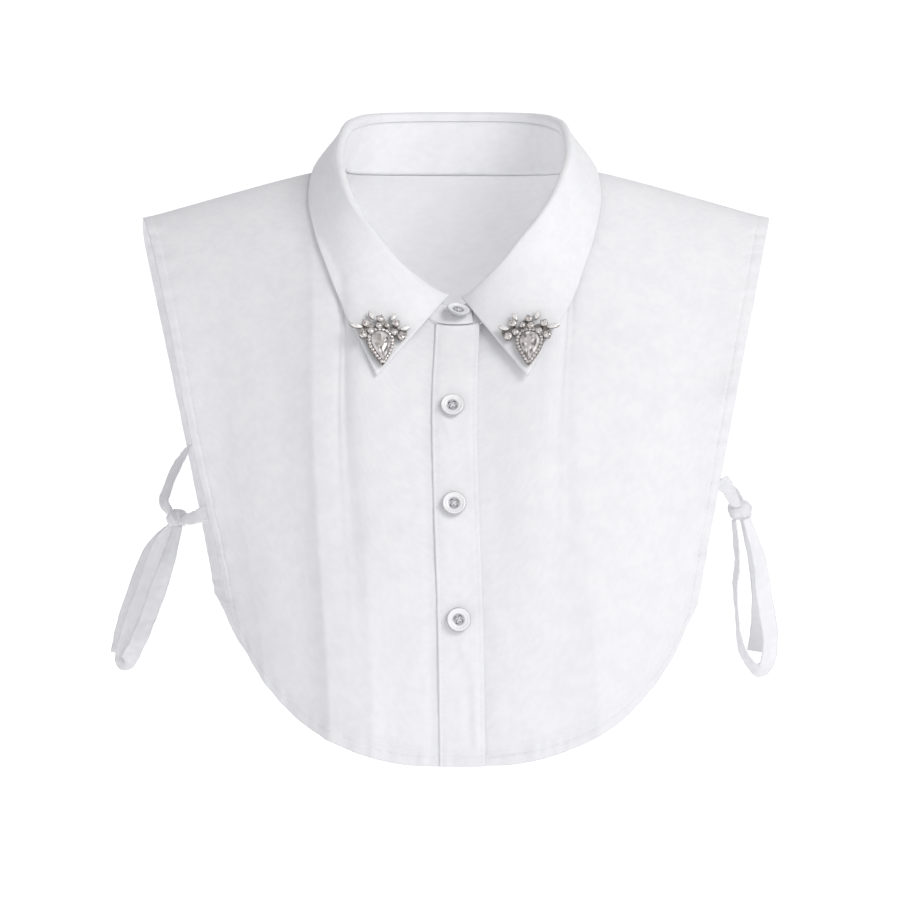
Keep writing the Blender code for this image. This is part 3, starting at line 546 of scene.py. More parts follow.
def front_left_point(u, v):
    v = round(close_to_end(v, HEM_BAND, HEM_FINE), 6)
    inner = share_at(round(UNDERLAP_EDGE + placket_lean(v), 4), v)
    u = close_to_end(u, ARMHOLE_BAND, ARMHOLE_FINE)
    share = inner + (1.0 - inner) * u
    place = finished_front(share, v)
    near = 1.0 - smooth_step(*UNDERLAP_RAMP, place.x)
    if near > 0.0:
        place -= surface_normal(front_point, share, v, -1.0) * (UNDERLAP_SET_BACK * near)
    return place


front_right, front_right_tree = cloth_sheet(
    "front_right_cloth", FRONT_COLUMNS, FRONT_ROWS, FRONT_RIGHT_CUT, front_right_point,
    CLOTH_WALL, cotton)
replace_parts(front_right, "front_right")

front_left, front_left_tree = cloth_sheet(
    "front_left_cloth", FRONT_COLUMNS, FRONT_ROWS, FRONT_LEFT_CUT, front_left_point,
    CLOTH_WALL, cotton)
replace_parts(front_left, "front_left")


# Placket
# The strip that covers the buttoned edge: the front's own cloth folded over and sewn
# down 2 mm inside both of its edges. It puckers a little between the buttons.
PLACKET_CUT = (0.0245, 0.257)
PLACKET_RAISED = 0.75
PLACKET_WALL = 0.6
PLACKET_COLUMNS = 26
PLACKET_ROWS = 170
PLACKET_SEAM = 2.2                  # distance of its seams from its edges
# Creases across the strip's own width: x, z at both ends, rise, width
PLACKET_CREASES = (
    (-9.0, -136.0, -3.0, -152.0, 0.90, 2.2),
    (2.0, -145.0, 5.0, -178.0, -0.35, 3.5),
    (-8.0, -170.0, -1.0, -184.0, 0.35, 3.0),
    (4.0, -196.0, 8.0, -236.0, -0.30, 3.2),
    (-7.0, -205.0, -4.0, -226.0, 0.25, 3.0),
    (2.0, -262.0, 9.0, -279.0, 0.70, 2.2),
    (9.5, -279.0, 11.0, -322.0, 0.65, 2.2),
    (5.0, -285.0, 7.0, -318.0, -0.35, 2.6),
    (-6.0, -100.0, 4.0, -124.0, 0.25, 4.0),
)


def placket_point(u, v, raised):
    """Point on the placket, raised above the bib front, and the way that it faces."""
    share = share_at(round(PLACKET_CENTRE + (u - 0.5) * PLACKET_WIDTH + placket_lean(v), 4), v)
    normal = surface_normal(front_point, share, v, -1.0)
    return front_point(share, v) + normal * raised, normal


def finished_placket(u, v):
    v = round(close_to_end(v, HEM_BAND, HEM_FINE), 6)
    place, normal = placket_point(u, v, PLACKET_RAISED)
    from_edge = min(u, 1.0 - u) * PLACKET_WIDTH
    lift = -0.28 * math.exp(-((from_edge - PLACKET_SEAM) / 0.7) ** 2)
    lift += crease_rise(PLACKET_CREASES, place.x, place.z) * 0.9
    along = noise.noise(Vector((place.z / 5.0, 2.0 if u < 0.5 else 9.0, 1.0)))
    lift += 0.35 * along * math.exp(-(from_edge / 3.5) ** 2)
    lift += sewn_edge(FRONT_SECTIONS, 0.0, v, place, -1.0)
    return place + normal * lift


placket, placket_tree = cloth_sheet(
    "placket_cloth", PLACKET_COLUMNS, PLACKET_ROWS, PLACKET_CUT, finished_placket,
    PLACKET_WALL, cotton)
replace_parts(placket, "placket")


# Bib back
# One panel of one layer of cotton, as long as the front and a little wider across the
# shoulder blades. Its armholes and hem are turned in and sewn like those of the front.
BACK_CUT = (0.365, 0.350)
BACK_COLUMNS = 170
BACK_ROWS = 124
BACK_SECTIONS = (
    (0.00, 0.0, 15.0, -38.0, 0.0, 82.0, -338.0, 0.0, 3.0, 160.0),
    (0.13, 0.0, 26.0, -32.0, 21.0, 82.0, -337.6, 0.5, 4.0, 178.0),
    (0.25, -0.5, 44.0, -19.0, 39.0, 80.5, -336.0, 1.0, 5.0, 203.0),
    (0.34, 0.5, 59.0, -6.0, 52.0, 79.0, -333.5, 1.5, 5.5, 225.0),
    (0.40, 1.0, 69.0, 3.0, 61.0, 78.0, -331.5, 2.0, 6.0, 236.0),
    (0.50, 1.0, 62.0, 2.5, 79.0, 75.0, -324.0, 4.0, 5.0, 215.0),
    (0.65, 1.0, 48.0, 1.0, 103.0, 69.0, -304.5, 7.0, 3.0, 172.0),
    (0.82, 1.0, 35.0, -0.5, 125.0, 60.0, -273.0, 11.0, 1.0, 122.0),
    (1.00, 3.0, 27.0, -2.0, 139.0, 48.0, -243.0, 15.0, -1.0, 85.0),
)
BACK_FOLDS = (
    (-96.0, -48.0, -80.0, -336.0, 2.0, 9.0, 30.0, 17.0),
    (-24.0, -120.0, -33.0, -342.0, 0.8, 5.5, 20.0, 25.0),
    (47.0, -84.0, 38.0, -342.0, 1.5, 8.0, 17.0, 30.0),
    (112.0, -40.0, 98.0, -312.0, 2.0, 7.0, 26.0, 16.0),
)
BACK_CREASES = (
    (-140.0, -60.0, -100.0, -90.0, 0.60, 6.0),
    (-138.0, -168.0, -92.0, -204.0, 0.65, 6.0),
    (-134.0, -178.0, -104.0, -250.0, -0.50, 7.0),
    (-66.0, -90.0, -58.0, -210.0, 0.45, 9.0),
    (-50.0, -40.0, -28.0, -92.0, -0.50, 9.0),
    (-10.0, -150.0, 6.0, -260.0, -0.50, 8.0),
    (18.0, -60.0, 12.0, -130.0, 0.45, 8.0),
    (70.0, -50.0, 62.0, -150.0, -0.45, 8.0),
    (84.0, -190.0, 74.0, -300.0, -0.45, 7.0),
    (142.0, -176.0, 96.0, -214.0, 0.60, 6.0),
    (138.0, -186.0, 116.0, -262.0, -0.50, 6.0),
    (128.0, -60.0, 134.0, -130.0, 0.50, 8.0),
    (-20.0, -300.0, -12.0, -334.0, 0.40, 5.0),
)


@lru_cache(maxsize=None)
def back_form(share, v):
    def station_of(part):
        return BACK_STATION - (BACK_STATION - SHOULDER_STATION) * part

    point = panel_point(BACK_SECTIONS, station_of, BACK_FOLDS, BACK_CREASES, 1.0, share, v)
    point.x += BACK_SHIFT * smooth_step(0.0, 0.2, v)
    return point


def back_point(share, v):
    return back_form(share, v).copy()


def finished_back(u, v):
    v = round(close_to_end(v, HEM_BAND, HEM_FINE), 6)
    side = 1.0 if u >= 0.5 else -1.0
    share = side * close_to_end(abs(2.0 * u - 1.0), ARMHOLE_BAND, ARMHOLE_FINE)
    place = back_point(share, v)
    lift = sewn_edge(BACK_SECTIONS, share, v, place, 1.0)
    if lift:
        place += surface_normal(back_point, share, v, 1.0) * lift
    return place


back, back_tree = cloth_sheet(
    "back_cloth", BACK_COLUMNS, BACK_ROWS, BACK_CUT, finished_back, CLOTH_WALL, cotton)
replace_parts(back, "back")


# Collar stand
# A band of two layers of cotton with stiffening between, sewn to the neck edge. Its ends
# lie over each other at the front and are held by the top button.
STAND_CUT = (0.402, 0.032)
STAND_WALL = 1.0
STAND_TOP_GAP = 0.14
ROLL_RISE = 5.0
ROLL_RADIUS = 2.1
OVERLAP_SHIFT = 0.95
STAND_END_STATION = 0.72
STAND_COLUMNS = 240
STAND_ROWS = 14


def collar_frame(turn):
    """Collar section at a turn round the neck: 0 at centre back, +11 at centre front on
    the +X side, -11 on the -X side. Past 11 the stand's ends lie over each other."""
    side = 1.0 if turn >= 0.0 else -1.0
    station = BACK_STATION - abs(turn)
    layer = OVERLAP_SHIFT * -side * smooth_step(8.8, 10.6, abs(turn))
    if station < 0.0:
        station, side = -station, -side
    seam, fold, edge = collar_section(station, side)
    up = (fold - seam).normalized()
    ahead = collar_section(station + 0.05, side)[1]
    behind = collar_section(max(station - 0.05, 0.0), side)[1]
    outward = up.cross((ahead - behind).normalized())
    if outward.dot(Vector((fold.x, fold.y, 0.0))) < 0.0:
        outward = -outward
    outward.normalize()
    shift = outward * layer
    return seam + shift, fold + shift, edge, up, outward


def stand_point(u, v):
    turn = (BACK_STATION + STAND_END_STATION) * (2.0 * u - 1.0)
    seam, fold, _, up, outward = collar_frame(turn)
    top = fold - up * (ROLL_RISE + STAND_TOP_GAP)
    place = seam.lerp(top, v)
    waver = noise.noise(Vector((turn * 1.3, v * 1.5, 4.0)))
    return place + outward * (0.35 * waver * math.sin(math.pi * v))


stand, stand_tree = cloth_sheet(
    "collar_stand_cloth", STAND_COLUMNS, STAND_ROWS, STAND_CUT, stand_point, STAND_WALL,
    cotton)
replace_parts(stand, "collar_stand")


# Collar leaf
# Two layers of cotton, stiffened and turned right side out, sewn to the stand's top edge
# and folded down over it. Its pointed ends carry the jewelled points.
LEAF_CUT = (0.440, 0.078)
LEAF_WALL = 1.0
LEAF_CLEARANCE = 2.4
LEAF_FRONT_STATION = 0.45
ROLL_FOOT = 0.1
ROLL_END = 0.25
LEAF_RESTS_FROM = 0.5
LEAF_DROP = 0.2
LEAF_ENDS = (10.6, 8.8)             # turns between which it comes to fall straight
LEAF_SPRING = 0.045
LEAF_BEND = 0.36
LEAF_BULGE = 0.04
LEAF_BODY_REACH = 12.0
LEAF_COLUMNS = 230
LEAF_ROWS = 56
LIFT_COLUMNS = 84
LIFT_ROWS = 8


def leaf_point(turn, v):
    """Point of the leaf. v climbs from the stand up to ROLL_FOOT, rolls over up to
    ROLL_END, and from there to 1 it falls outside to the leaf's edge."""
    _, fold, edge, up, outward = collar_frame(turn)
    rise_top = fold - up * ROLL_RADIUS
    if v < ROLL_FOOT:
        return (fold - up * ROLL_RISE).lerp(rise_top, v / ROLL_FOOT)
    if v < ROLL_END:
        angle = math.pi * (v - ROLL_FOOT) / (ROLL_END - ROLL_FOOT)
        centre = rise_top + outward * ROLL_RADIUS
        around = up * math.sin(angle) - outward * math.cos(angle)
        return centre + around * ROLL_RADIUS
    begin = rise_top + outward * (2.0 * ROLL_RADIUS)
    reach = (edge - begin).length
    straight = 1.0 - smooth_step(BACK_STATION - LEAF_ENDS[0], BACK_STATION - LEAF_ENDS[1],
                                 BACK_STATION - abs(turn))
    fall = (-up).lerp((edge - begin) / reach, straight)
    drop = begin + fall * (LEAF_DROP * reach) + outward * (LEAF_SPRING * reach)
    bend = edge.lerp(begin, LEAF_BEND) + outward * (LEAF_BULGE * reach)
    return bezier(begin, drop, bend, edge, (v - ROLL_END) / (1.0 - ROLL_END))


def lift_off_bib(point):
    """How far a point of the leaf has to move out to clear the bib under it."""
    lifted = point
    for tree, facing in ((front_left_tree, -1.0), (front_right_tree, -1.0),
                         (placket_tree, -1.0), (back_tree, 1.0)) * 2:
        place, normal, _, distance = tree.find_nearest(lifted * MM)
        outward = normal if normal.dot(Vector((0.0, facing, 1.0))) > 0.0 else -normal
        height = (lifted * MM - place).dot(outward)
        beside = abs(height) < 0.7 * distance
        if distance < LEAF_BODY_REACH * MM and height < LEAF_CLEARANCE * MM and not beside:
            lifted = (place + outward * (LEAF_CLEARANCE * MM)) / MM
    return lifted - point


def blend_weights(f):
    """Weights of the four nearest rows of a table, for a smooth surface over it."""
    return ((1.0 - f) ** 3 / 6.0, (3.0 * f ** 3 - 6.0 * f * f + 4.0) / 6.0,
            (-3.0 * f ** 3 + 3.0 * f * f + 3.0 * f + 1.0) / 6.0, f ** 3 / 6.0)


def smooth_lift(column, row):
    """Lift of the leaf at a place in its table of lifts, in columns and rows."""
    total = Vector()
    first_column, first_row = int(column), int(row)
    across = blend_weights(column - first_column)
    down = blend_weights(row - first_row)
    for i, weight_across in enumerate(across):
        for j, weight_down in enumerate(down):
            at_column = min(max(first_column + i - 1, 0), LIFT_COLUMNS)
            at_row = min(max(first_row + j - 1, 0), LIFT_ROWS)
            total += leaf_lifts[at_column][at_row] * (weight_across * weight_down)
    return total


leaf_end = BACK_STATION - LEAF_FRONT_STATION
leaf_lifts = []
for column in range(LIFT_COLUMNS + 1):
    turn = leaf_end * (2.0 * column / LIFT_COLUMNS - 1.0)
    leaf_lifts.append([])
    for row in range(LIFT_ROWS + 1):
        v = LEAF_RESTS_FROM + (1.0 - LEAF_RESTS_FROM) * row / LIFT_ROWS
        lift = lift_off_bib(leaf_point(turn, v)) if row else Vector()
        leaf_lifts[column].append(lift)


def finished_leaf(u, v):
    turn = leaf_end * (2.0 * u - 1.0)
    point = leaf_point(turn, v)
    if v > ROLL_END:
        outward = collar_frame(turn)[4]
        fall = (v - ROLL_END) / (1.0 - ROLL_END)
        waver = noise.noise(Vector((turn * 0.9, fall * 2.0, 6.0)))
        point += outward * (0.5 * waver * math.sin(math.pi * min(fall, 0.8)))
    if v > LEAF_RESTS_FROM:
        row = LIFT_ROWS * (v - LEAF_RESTS_FROM) / (1.0 - LEAF_RESTS_FROM)
        point += smooth_lift(LIFT_COLUMNS * u, row)
    return point


leaf, leaf_tree = cloth_sheet(
    "collar_leaf_cloth", LEAF_COLUMNS, LEAF_ROWS, LEAF_CUT, finished_leaf, LEAF_WALL,
    cotton)
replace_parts(leaf, "collar_leaf")


# Buttons
# Cast resin, pearly white, 13 mm across, with a rounded rim, a groove inside it and four
# holes in a dished middle. White thread crosses between the holes and wraps the shank.
BUTTON_RADIUS = 6.6
BUTTON_PROFILE = (
    (0.0, 0.30), (4.0, 0.30), (5.3, 0.55), (6.2, 0.95), (6.6, 1.45), (6.6, 1.85), (6.4, 2.25),
    (6.0, 2.5), (5.5, 2.55), (5.05, 2.4), (4.75, 2.05), (4.5, 1.9), (4.2, 1.95), (3.8, 1.85),
    (3.0, 1.6), (1.8, 1.45), (0.0, 1.4),
)
BUTTON_SPIN = 64
HOLE_RADIUS = 0.85
HOLE_PLACE = 1.35                   # from the middle, along both ways
THREAD_RADIUS = 0.33
BUTTON_SEAT = 0.75
STAND_BUTTON_SEAT = 3.0
PLACKET_BUTTON_HEIGHTS = (-136.0, -188.9, -250.5)
PLACKET_BUTTON_RAISE = 0.4 + 0.5 * 1.7 + BUTTON_SEAT
STAND_BUTTON_FRACTION = 0.3
STAND_BUTTON_FACING = Vector((0.2, -0.5, 0.84))     # it lies back more than the stand
BUTTON_TURNS = (30.0, 12.0, -8.0, 20.0)
# Tones from the middle (0) to the rim (1): painted shade in the dished middle, the resin's own
# white in a ring, painted shadow on the rim's outer edge
BUTTON_TONES_AND_PAINTED_SHADE = [
    (0.0, (0.50, 0.50, 0.51, 1.0)), (0.45, (0.44, 0.44, 0.45, 1.0)),
    (0.56, (0.86, 0.86, 0.87, 1.0)), (0.88, (0.90, 0.90, 0.905, 1.0)),
    (0.97, (0.46, 0.46, 0.47, 1.0)),
]

button_resin_and_painted_shade, shader, start = finish("pearly resin")
solid = start.node("ShaderNodeTexCoord", output="Object")
cloud = start.node("ShaderNodeTexNoise", inputs={
    "Vector": solid, "Scale": 420.0, "Detail": 3.0, "Distortion": 1.2})
from_middle = start.node("ShaderNodeAttribute", {"attribute_name": "from_middle"},
                         output="Fac")
# The ramp paints shade into the dish and shadow round the edge; only the ring between them is
# the resin's own white.
feed(start.node("ShaderNodeValToRGB", {"stops": BUTTON_TONES_AND_PAINTED_SHADE},
                {"Fac": from_middle + (cloud - 0.5) * 0.05}), shader, "Base Color")
feed(0.20 + cloud * 0.16, shader, "Roughness")
shader.inputs["Coat Weight"].default_value = 0.4
shader.inputs["Coat Roughness"].default_value = 0.08
feed(start.node("ShaderNodeBump", inputs={
    "Strength": 0.4, "Distance": 0.00004, "Height": cloud}), shader, "Normal")
thread_finish = cotton_finish("sewing thread", (0.84, 0.84, 0.85, 1.0),
                              (0.70, 0.70, 0.72, 1.0), 0.00004)


def frame_at(place, normal, up_hint=Vector((0.0, 0.0, 1.0))):
    """Matrix whose Z is the given normal and whose Y leans towards the hint, in metres."""
    across = up_hint.cross(normal).normalized()
    up = normal.cross(across).normalized()
    turn = Matrix((across, up, normal)).transposed().to_4x4()
    return Matrix.Translation(place * MM) @ turn


def keep(name, bm, material, smooth_angle=35.0):
    """Turn a bmesh in metres into a piece that rides on the garment."""
    mesh = bpy.data.meshes.new(name)
    bm.to_mesh(mesh)
    bm.free()
    mesh.materials.append(material)
    if smooth_angle:
        mesh.shade_smooth()
        mesh.set_sharp_from_angle(angle=math.radians(smooth_angle))
    piece = bpy.data.objects.new(name, mesh)
    scene.collection.objects.link(piece)
    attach(piece, "root")
    return piece


def turned(profile, steps):
    """Closed body of revolution about Z from an outline in millimetres."""
    bm = bmesh.new()
    verts = [bm.verts.new((x * MM, 0.0, z * MM)) for x, z in profile]
    edges = [bm.edges.new(pair) for pair in zip(verts, verts[1:])]
    bmesh.ops.spin(bm, geom=verts + edges, cent=(0.0, 0.0, 0.0), axis=(0.0, 0.0, 1.0),
                   angle=2.0 * math.pi, steps=steps, use_merge=True)
    bmesh.ops.remove_doubles(bm, verts=bm.verts, dist=0.000005)
    bmesh.ops.recalc_face_normals(bm, faces=bm.faces)
    return bm


def cut_holes(bm, places, radius):
    """Cut round holes through a body, along Z, at places in millimetres."""
    body_mesh = bpy.data.meshes.new("body")
    bm.to_mesh(body_mesh)
    bm.free()
    cutter_bm = bmesh.new()
    for x, y in places:
        bmesh.ops.create_cone(cutter_bm, cap_ends=True, segments=20, radius1=radius * MM,
                              radius2=radius * MM, depth=8.0 * MM,
                              matrix=Matrix.Translation((x * MM, y * MM, 1.0 * MM)))
    cutter_mesh = bpy.data.meshes.new("cutter")
    cutter_bm.to_mesh(cutter_mesh)
    cutter_bm.free()
    body = bpy.data.objects.new("body", body_mesh)
    cutter = bpy.data.objects.new("cutter", cutter_mesh)
    for item in (body, cutter):
        scene.collection.objects.link(item)
    cut = body.modifiers.new("holes", "BOOLEAN")
    cut.operation = "DIFFERENCE"
    cut.object = cutter
    bpy.context.view_layer.update()
    shown = body.evaluated_get(bpy.context.evaluated_depsgraph_get())
    result = bmesh.new()
    result.from_mesh(shown.to_mesh())
    for item in (body, cutter):
        bpy.data.objects.remove(item, do_unlink=True)
    return result


def thread_bar(bm, start, end, height, sag, radius):
    """A bundle of thread between two places in millimetres, arched over the button."""
    steps = 8
    across = Vector((start[1] - end[1], end[0] - start[0], 0.0)).normalized()
    rings = []
    for i in range(steps + 1):
        f = i / steps
        rise = height + sag * math.sin(math.pi * f) ** 0.6
        middle = Vector((start[0] + (end[0] - start[0]) * f,
                         start[1] + (end[1] - start[1]) * f, rise))
        ring = bmesh.ops.create_circle(bm, cap_ends=False, segments=8, radius=radius * MM)
        for vert in ring["verts"]:
            side, up = vert.co.x / MM, vert.co.y / MM
            vert.co = (middle + across * side * 1.25 + Vector((0.0, 0.0, up))) * MM
        rings.append([edge for edge in bm.edges if edge.verts[0] in ring["verts"]
                      and edge.verts[1] in ring["verts"]])
    for first, second in zip(rings, rings[1:]):
        bmesh.ops.bridge_loops(bm, edges=first + second)
    return bm


hole_places = [(sx * HOLE_PLACE, sy * HOLE_PLACE) for sx in (-1, 1) for sy in (-1, 1)]
button_places = []
for height in PLACKET_BUTTON_HEIGHTS:
    low, high = 0.0, 1.0
    for _ in range(24):
        v = 0.5 * (low + high)
        if front_form(0.0, v, FRONT_CREASES).z > height:
            low = v
        else:
            high = v
    button_places.append(placket_point(0.45, v, PLACKET_BUTTON_RAISE))
seam, fold, _, up, outward = collar_frame(-BACK_STATION)
stand_lift = outward * (0.5 * 1.4 + STAND_BUTTON_SEAT)
stand_place = seam.lerp(fold, STAND_BUTTON_FRACTION) + stand_lift
button_places.insert(0, (stand_place, STAND_BUTTON_FACING.normalized()))

for number, ((place, normal), turn) in enumerate(zip(button_places, BUTTON_TURNS), start=1):
    seat = frame_at(place, normal) @ Matrix.Rotation(math.radians(turn), 4, "Z")
    body = cut_holes(turned(BUTTON_PROFILE, BUTTON_SPIN), hole_places, HOLE_RADIUS)
    from_middle = body.verts.layers.float.new("from_middle")
    for vert in body.verts:
        vert[from_middle] = math.hypot(vert.co.x, vert.co.y) / (BUTTON_RADIUS * MM)
    body.transform(seat)
    button = keep(f"button_{number}_resin", body, button_resin_and_painted_shade)
    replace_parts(button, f"button_{number}")

    thread = bmesh.new()
    for sign in (-1, 1):
        thread_bar(thread, (-HOLE_PLACE, -sign * HOLE_PLACE), (HOLE_PLACE, sign * HOLE_PLACE),
                   1.35, 0.55 + 0.2 * sign, THREAD_RADIUS)
    bmesh.ops.create_cone(thread, cap_ends=True, segments=16, radius1=1.3 * MM,
                          radius2=1.5 * MM, depth=1.2 * MM,
                          matrix=Matrix.Translation((0.0, 0.0, -0.2 * MM)))
    thread.transform(seat)
    keep(f"button_{number}_thread", thread, thread_finish, 60.0)


# Stitching
# White cotton thread, ten stitches to 30 mm: a row inside the turned armhole and hem of
# the fronts and the back, and a row inside each edge of the placket.
STITCH_STEP = 3.0
STITCH_LENGTH = 2.3
STITCH_THICKNESS = 0.36
ARMHOLE_PART = 0.45                 # part of a panel's seam that runs down the armhole
stitching = bmesh.new()


def stitch_row(at, samples):
    """One stitch at every step along a seam. at(t) gives a place and the outward way there,
    with t from 0 to 1."""
    last, travelled = at(0.0)[0], 0.0
    for i in range(1, samples + 1):
        here, outward = at(i / samples)
        step = here - last
        last = here
        travelled += step.length
        if travelled < STITCH_STEP:
            continue
        travelled -= STITCH_STEP
        along = step.normalized()
        across = outward.cross(along).normalized()
        turn = Matrix((along, across, along.cross(across))).transposed().to_4x4()
        size = Matrix.Diagonal((0.5 * STITCH_LENGTH, 0.5 * STITCH_THICKNESS,
                                0.5 * STITCH_THICKNESS, 1.0))
        bmesh.ops.create_icosphere(stitching, subdivisions=1, radius=MM,
                                   matrix=Matrix.Translation(here * MM) @ turn @ size)


def panel_seam(point_at, sections, facing, side, inner):
    """Seam of a panel from the shoulder down its armhole and along its hem to `inner`."""
    def hem_height(share):
        return 1.0 - HEM_STITCHES / (3.0 * Vector(read_table(sections, abs(share))[6:9]).length)

    corner = hem_height(1.0)
    corner_share = side * (1.0 - HEM_STITCHES / armhole_width(corner))

    def at(t):
        if t < ARMHOLE_PART:
            v = 0.01 + (corner - 0.01) * t / ARMHOLE_PART
            share = side * (1.0 - HEM_STITCHES / armhole_width(v))
        else:
            f = (t - ARMHOLE_PART) / (1.0 - ARMHOLE_PART)
            share = corner_share + (inner - corner_share) * f
            v = hem_height(share)
        place = point_at(share, v)
        outward = surface_normal(point_at, share, v, facing)
        lift = sewn_edge(sections, share, v, place, facing) + 0.5 * CLOTH_WALL
        return place + outward * lift, outward
    return at


def placket_seam(u):
    def at(t):
        v = 0.012 + 0.97 * t
        outward = placket_point(u, round(close_to_end(v, HEM_BAND, HEM_FINE), 6), 0.0)[1]
        return finished_placket(u, v) + outward * (0.5 * PLACKET_WALL), outward
    return at


stitch_row(panel_seam(front_point, FRONT_SECTIONS, -1.0, -1.0, share_at(-11.5, 0.98)), 1500)
stitch_row(panel_seam(front_point, FRONT_SECTIONS, -1.0, 1.0, share_at(15.0, 0.98)), 1500)
stitch_row(panel_seam(back_point, BACK_SECTIONS, 1.0, -1.0, 0.0), 1500)
stitch_row(panel_seam(back_point, BACK_SECTIONS, 1.0, 1.0, 0.0), 1500)
for u in (PLACKET_SEAM / PLACKET_WIDTH, 1.0 - PLACKET_SEAM / PLACKET_WIDTH):
    stitch_row(placket_seam(u), 700)
keep("stitching", stitching, thread_finish, 60.0)


# Jewelled points
# Cast and plated metal backs sewn to the tips of the leaf. Each holds a clear pear-cut
# stone in a ring of small ones, round stones above it and pale marquise stones outside.
BROOCH_CENTRES = {"right": (-42.4, -100.0), "left": (40.7, -99.9)}
BROOCH_SEAT = 1.6
PLATE_THICKNESS = 1.3
PEAR_DROP = 4.5
PEAR_WIDTH = 14.6
PEAR_HEIGHT = 24.0
STONE_WIDTH = 9.4
STONE_HEIGHT = 17.0
STONE_RISE = 2.9
HALO_STONES = 25
HALO_STONE = 1.15                   # radius of a stone of the ring
ROUND_STONES = (
    (-1.0, 12.4, 2.1),
    (7.6, 9.6, 2.2),
    (-9.6, 9.4, 2.2),
    (-8.0, 3.8, 1.9),
    (5.0, 4.6, 2.0),
    (-11.9, 1.2, 2.3),
    (9.6, 2.4, 2.3),
    (0.2, 8.0, 1.9),
    (-4.4, 8.2, 1.6),
)
# Marquise stones: x, y, turn in degrees of their long way, length, width
MARQUISE = (
    (-8.8, 13.8, 118.0, 5.8, 3.0),
    (3.6, 15.0, 72.0, 5.8, 3.0),
    (-14.8, 7.0, 160.0, 6.6, 3.2),
    (12.8, 8.2, 14.0, 7.6, 3.0),
)

plate_finish, shader, start = finish("plated setting", metallic=1.0)
solid = start.node("ShaderNodeTexCoord", output="Object")
tarnish = start.node("ShaderNodeTexNoise", inputs={
    "Vector": solid, "Scale": 700.0, "Detail": 4.0})
feed(tarnish.between(0.3, 0.7).colours((0.20, 0.185, 0.17, 1.0), (0.50, 0.475, 0.45, 1.0)),
     shader, "Base Color")
feed(0.16 + tarnish * 0.30, shader, "Roughness")
feed(start.node("ShaderNodeBump", inputs={
    "Strength": 0.5, "Distance": 0.00006, "Height": tarnish}), shader, "Normal")


def crystal_painted_reflection_finish(name, dark, middle, bright, metallic):
    """Cut stone with foil behind it. Each facet gets a painted reflection from an attribute: a
    tone between a dark, a middle and a bright colour, and the bright end is a painted glint.
    """
    material, shader, start = finish(name, metallic=metallic)
    tone = start.node("ShaderNodeAttribute", {"attribute_name": "facet"}, output="Fac")
    stops = [(0.0, dark), (0.5, middle), (1.0, bright)]
    feed(start.node("ShaderNodeValToRGB", {"stops": stops}, {"Fac": tone}), shader,
         "Base Color")
    shader.inputs["Roughness"].default_value = 0.04
    shader.inputs["Coat Weight"].default_value = 1.0
    shader.inputs["Coat Roughness"].default_value = 0.02
    return material


# Painted reflections: dark brown-grey facets, warm grey ones and white painted glints, in place
# of what the stone would mirror.
crystal = crystal_painted_reflection_finish("clear crystal", (0.16, 0.145, 0.13, 1.0), (0.62, 0.57, 0.545, 1.0),
                         (1.0, 0.97, 0.96, 1.0), 0.2)
# Paler painted reflections for the marquise stones.
pale_crystal = crystal_painted_reflection_finish("pale crystal", (0.68, 0.66, 0.62, 1.0),
                              (0.84, 0.82, 0.79, 1.0), (0.96, 0.95, 0.93, 1.0), 0.05)


def drop_outline(width, height, count):
    """Points of a pear shape that points down, about its own middle."""
    points = []
    for i in range(count):
        angle = 2.0 * math.pi * i / count
        x = 0.735 * width * math.sin(angle) * abs(math.sin(0.5 * angle)) ** 1.2
        points.append((x, -0.5 * height * math.cos(angle)))
    return points


def marquise_outline(length, width, count):
    points = []
    for i in range(count):
        angle = 2.0 * math.pi * i / count
        points.append((0.5 * length * math.cos(angle),
                       0.5 * width * math.sin(angle) * abs(math.sin(angle)) ** 0.25))
    return points


def cut_stone(bm, outline, rings, place, seed):
    """Faceted stone on an outline. rings are (size, height in mm) from the girdle to the table.
    Every facet gets a painted reflection tone between 0 and 1."""
    layer = bm.faces.layers.float.get("facet") or bm.faces.layers.float.new("facet")
    count = len(outline)
    base = bm.faces.new([bm.verts.new(place @ Vector((x * MM, y * MM, rings[0][1] * MM)))
                         for x, y in outline])
    base[layer] = 0.5
    top = base
    for level, (size, height) in enumerate(rings[1:], start=1):
        made = bmesh.ops.extrude_discrete_faces(bm, faces=[top])
        top = made["faces"][0]
        for vert, (x, y) in zip(top.verts, outline):
            vert.co = place @ Vector((x * size * MM, y * size * MM, height * MM))
        for edge in top.edges:
            for face in edge.link_faces:
                if face != top:
                    middle = face.calc_center_median() * 1400.0
                    key = Vector((middle.x, middle.y, seed + level))
                    # Painted reflection tone of this facet, from noise.
                    face[layer] = 0.5 + 1.2 * noise.noise(key)
    top[layer] = 0.5 + 0.4 * noise.noise(Vector((seed, 0.3, 0.7)))


def stone_rings(rise):
    return ((1.0, 0.0), (1.05, 0.3 * rise), (0.82, 0.66 * rise), (0.58, 0.9 * rise),
            (0.26, rise))


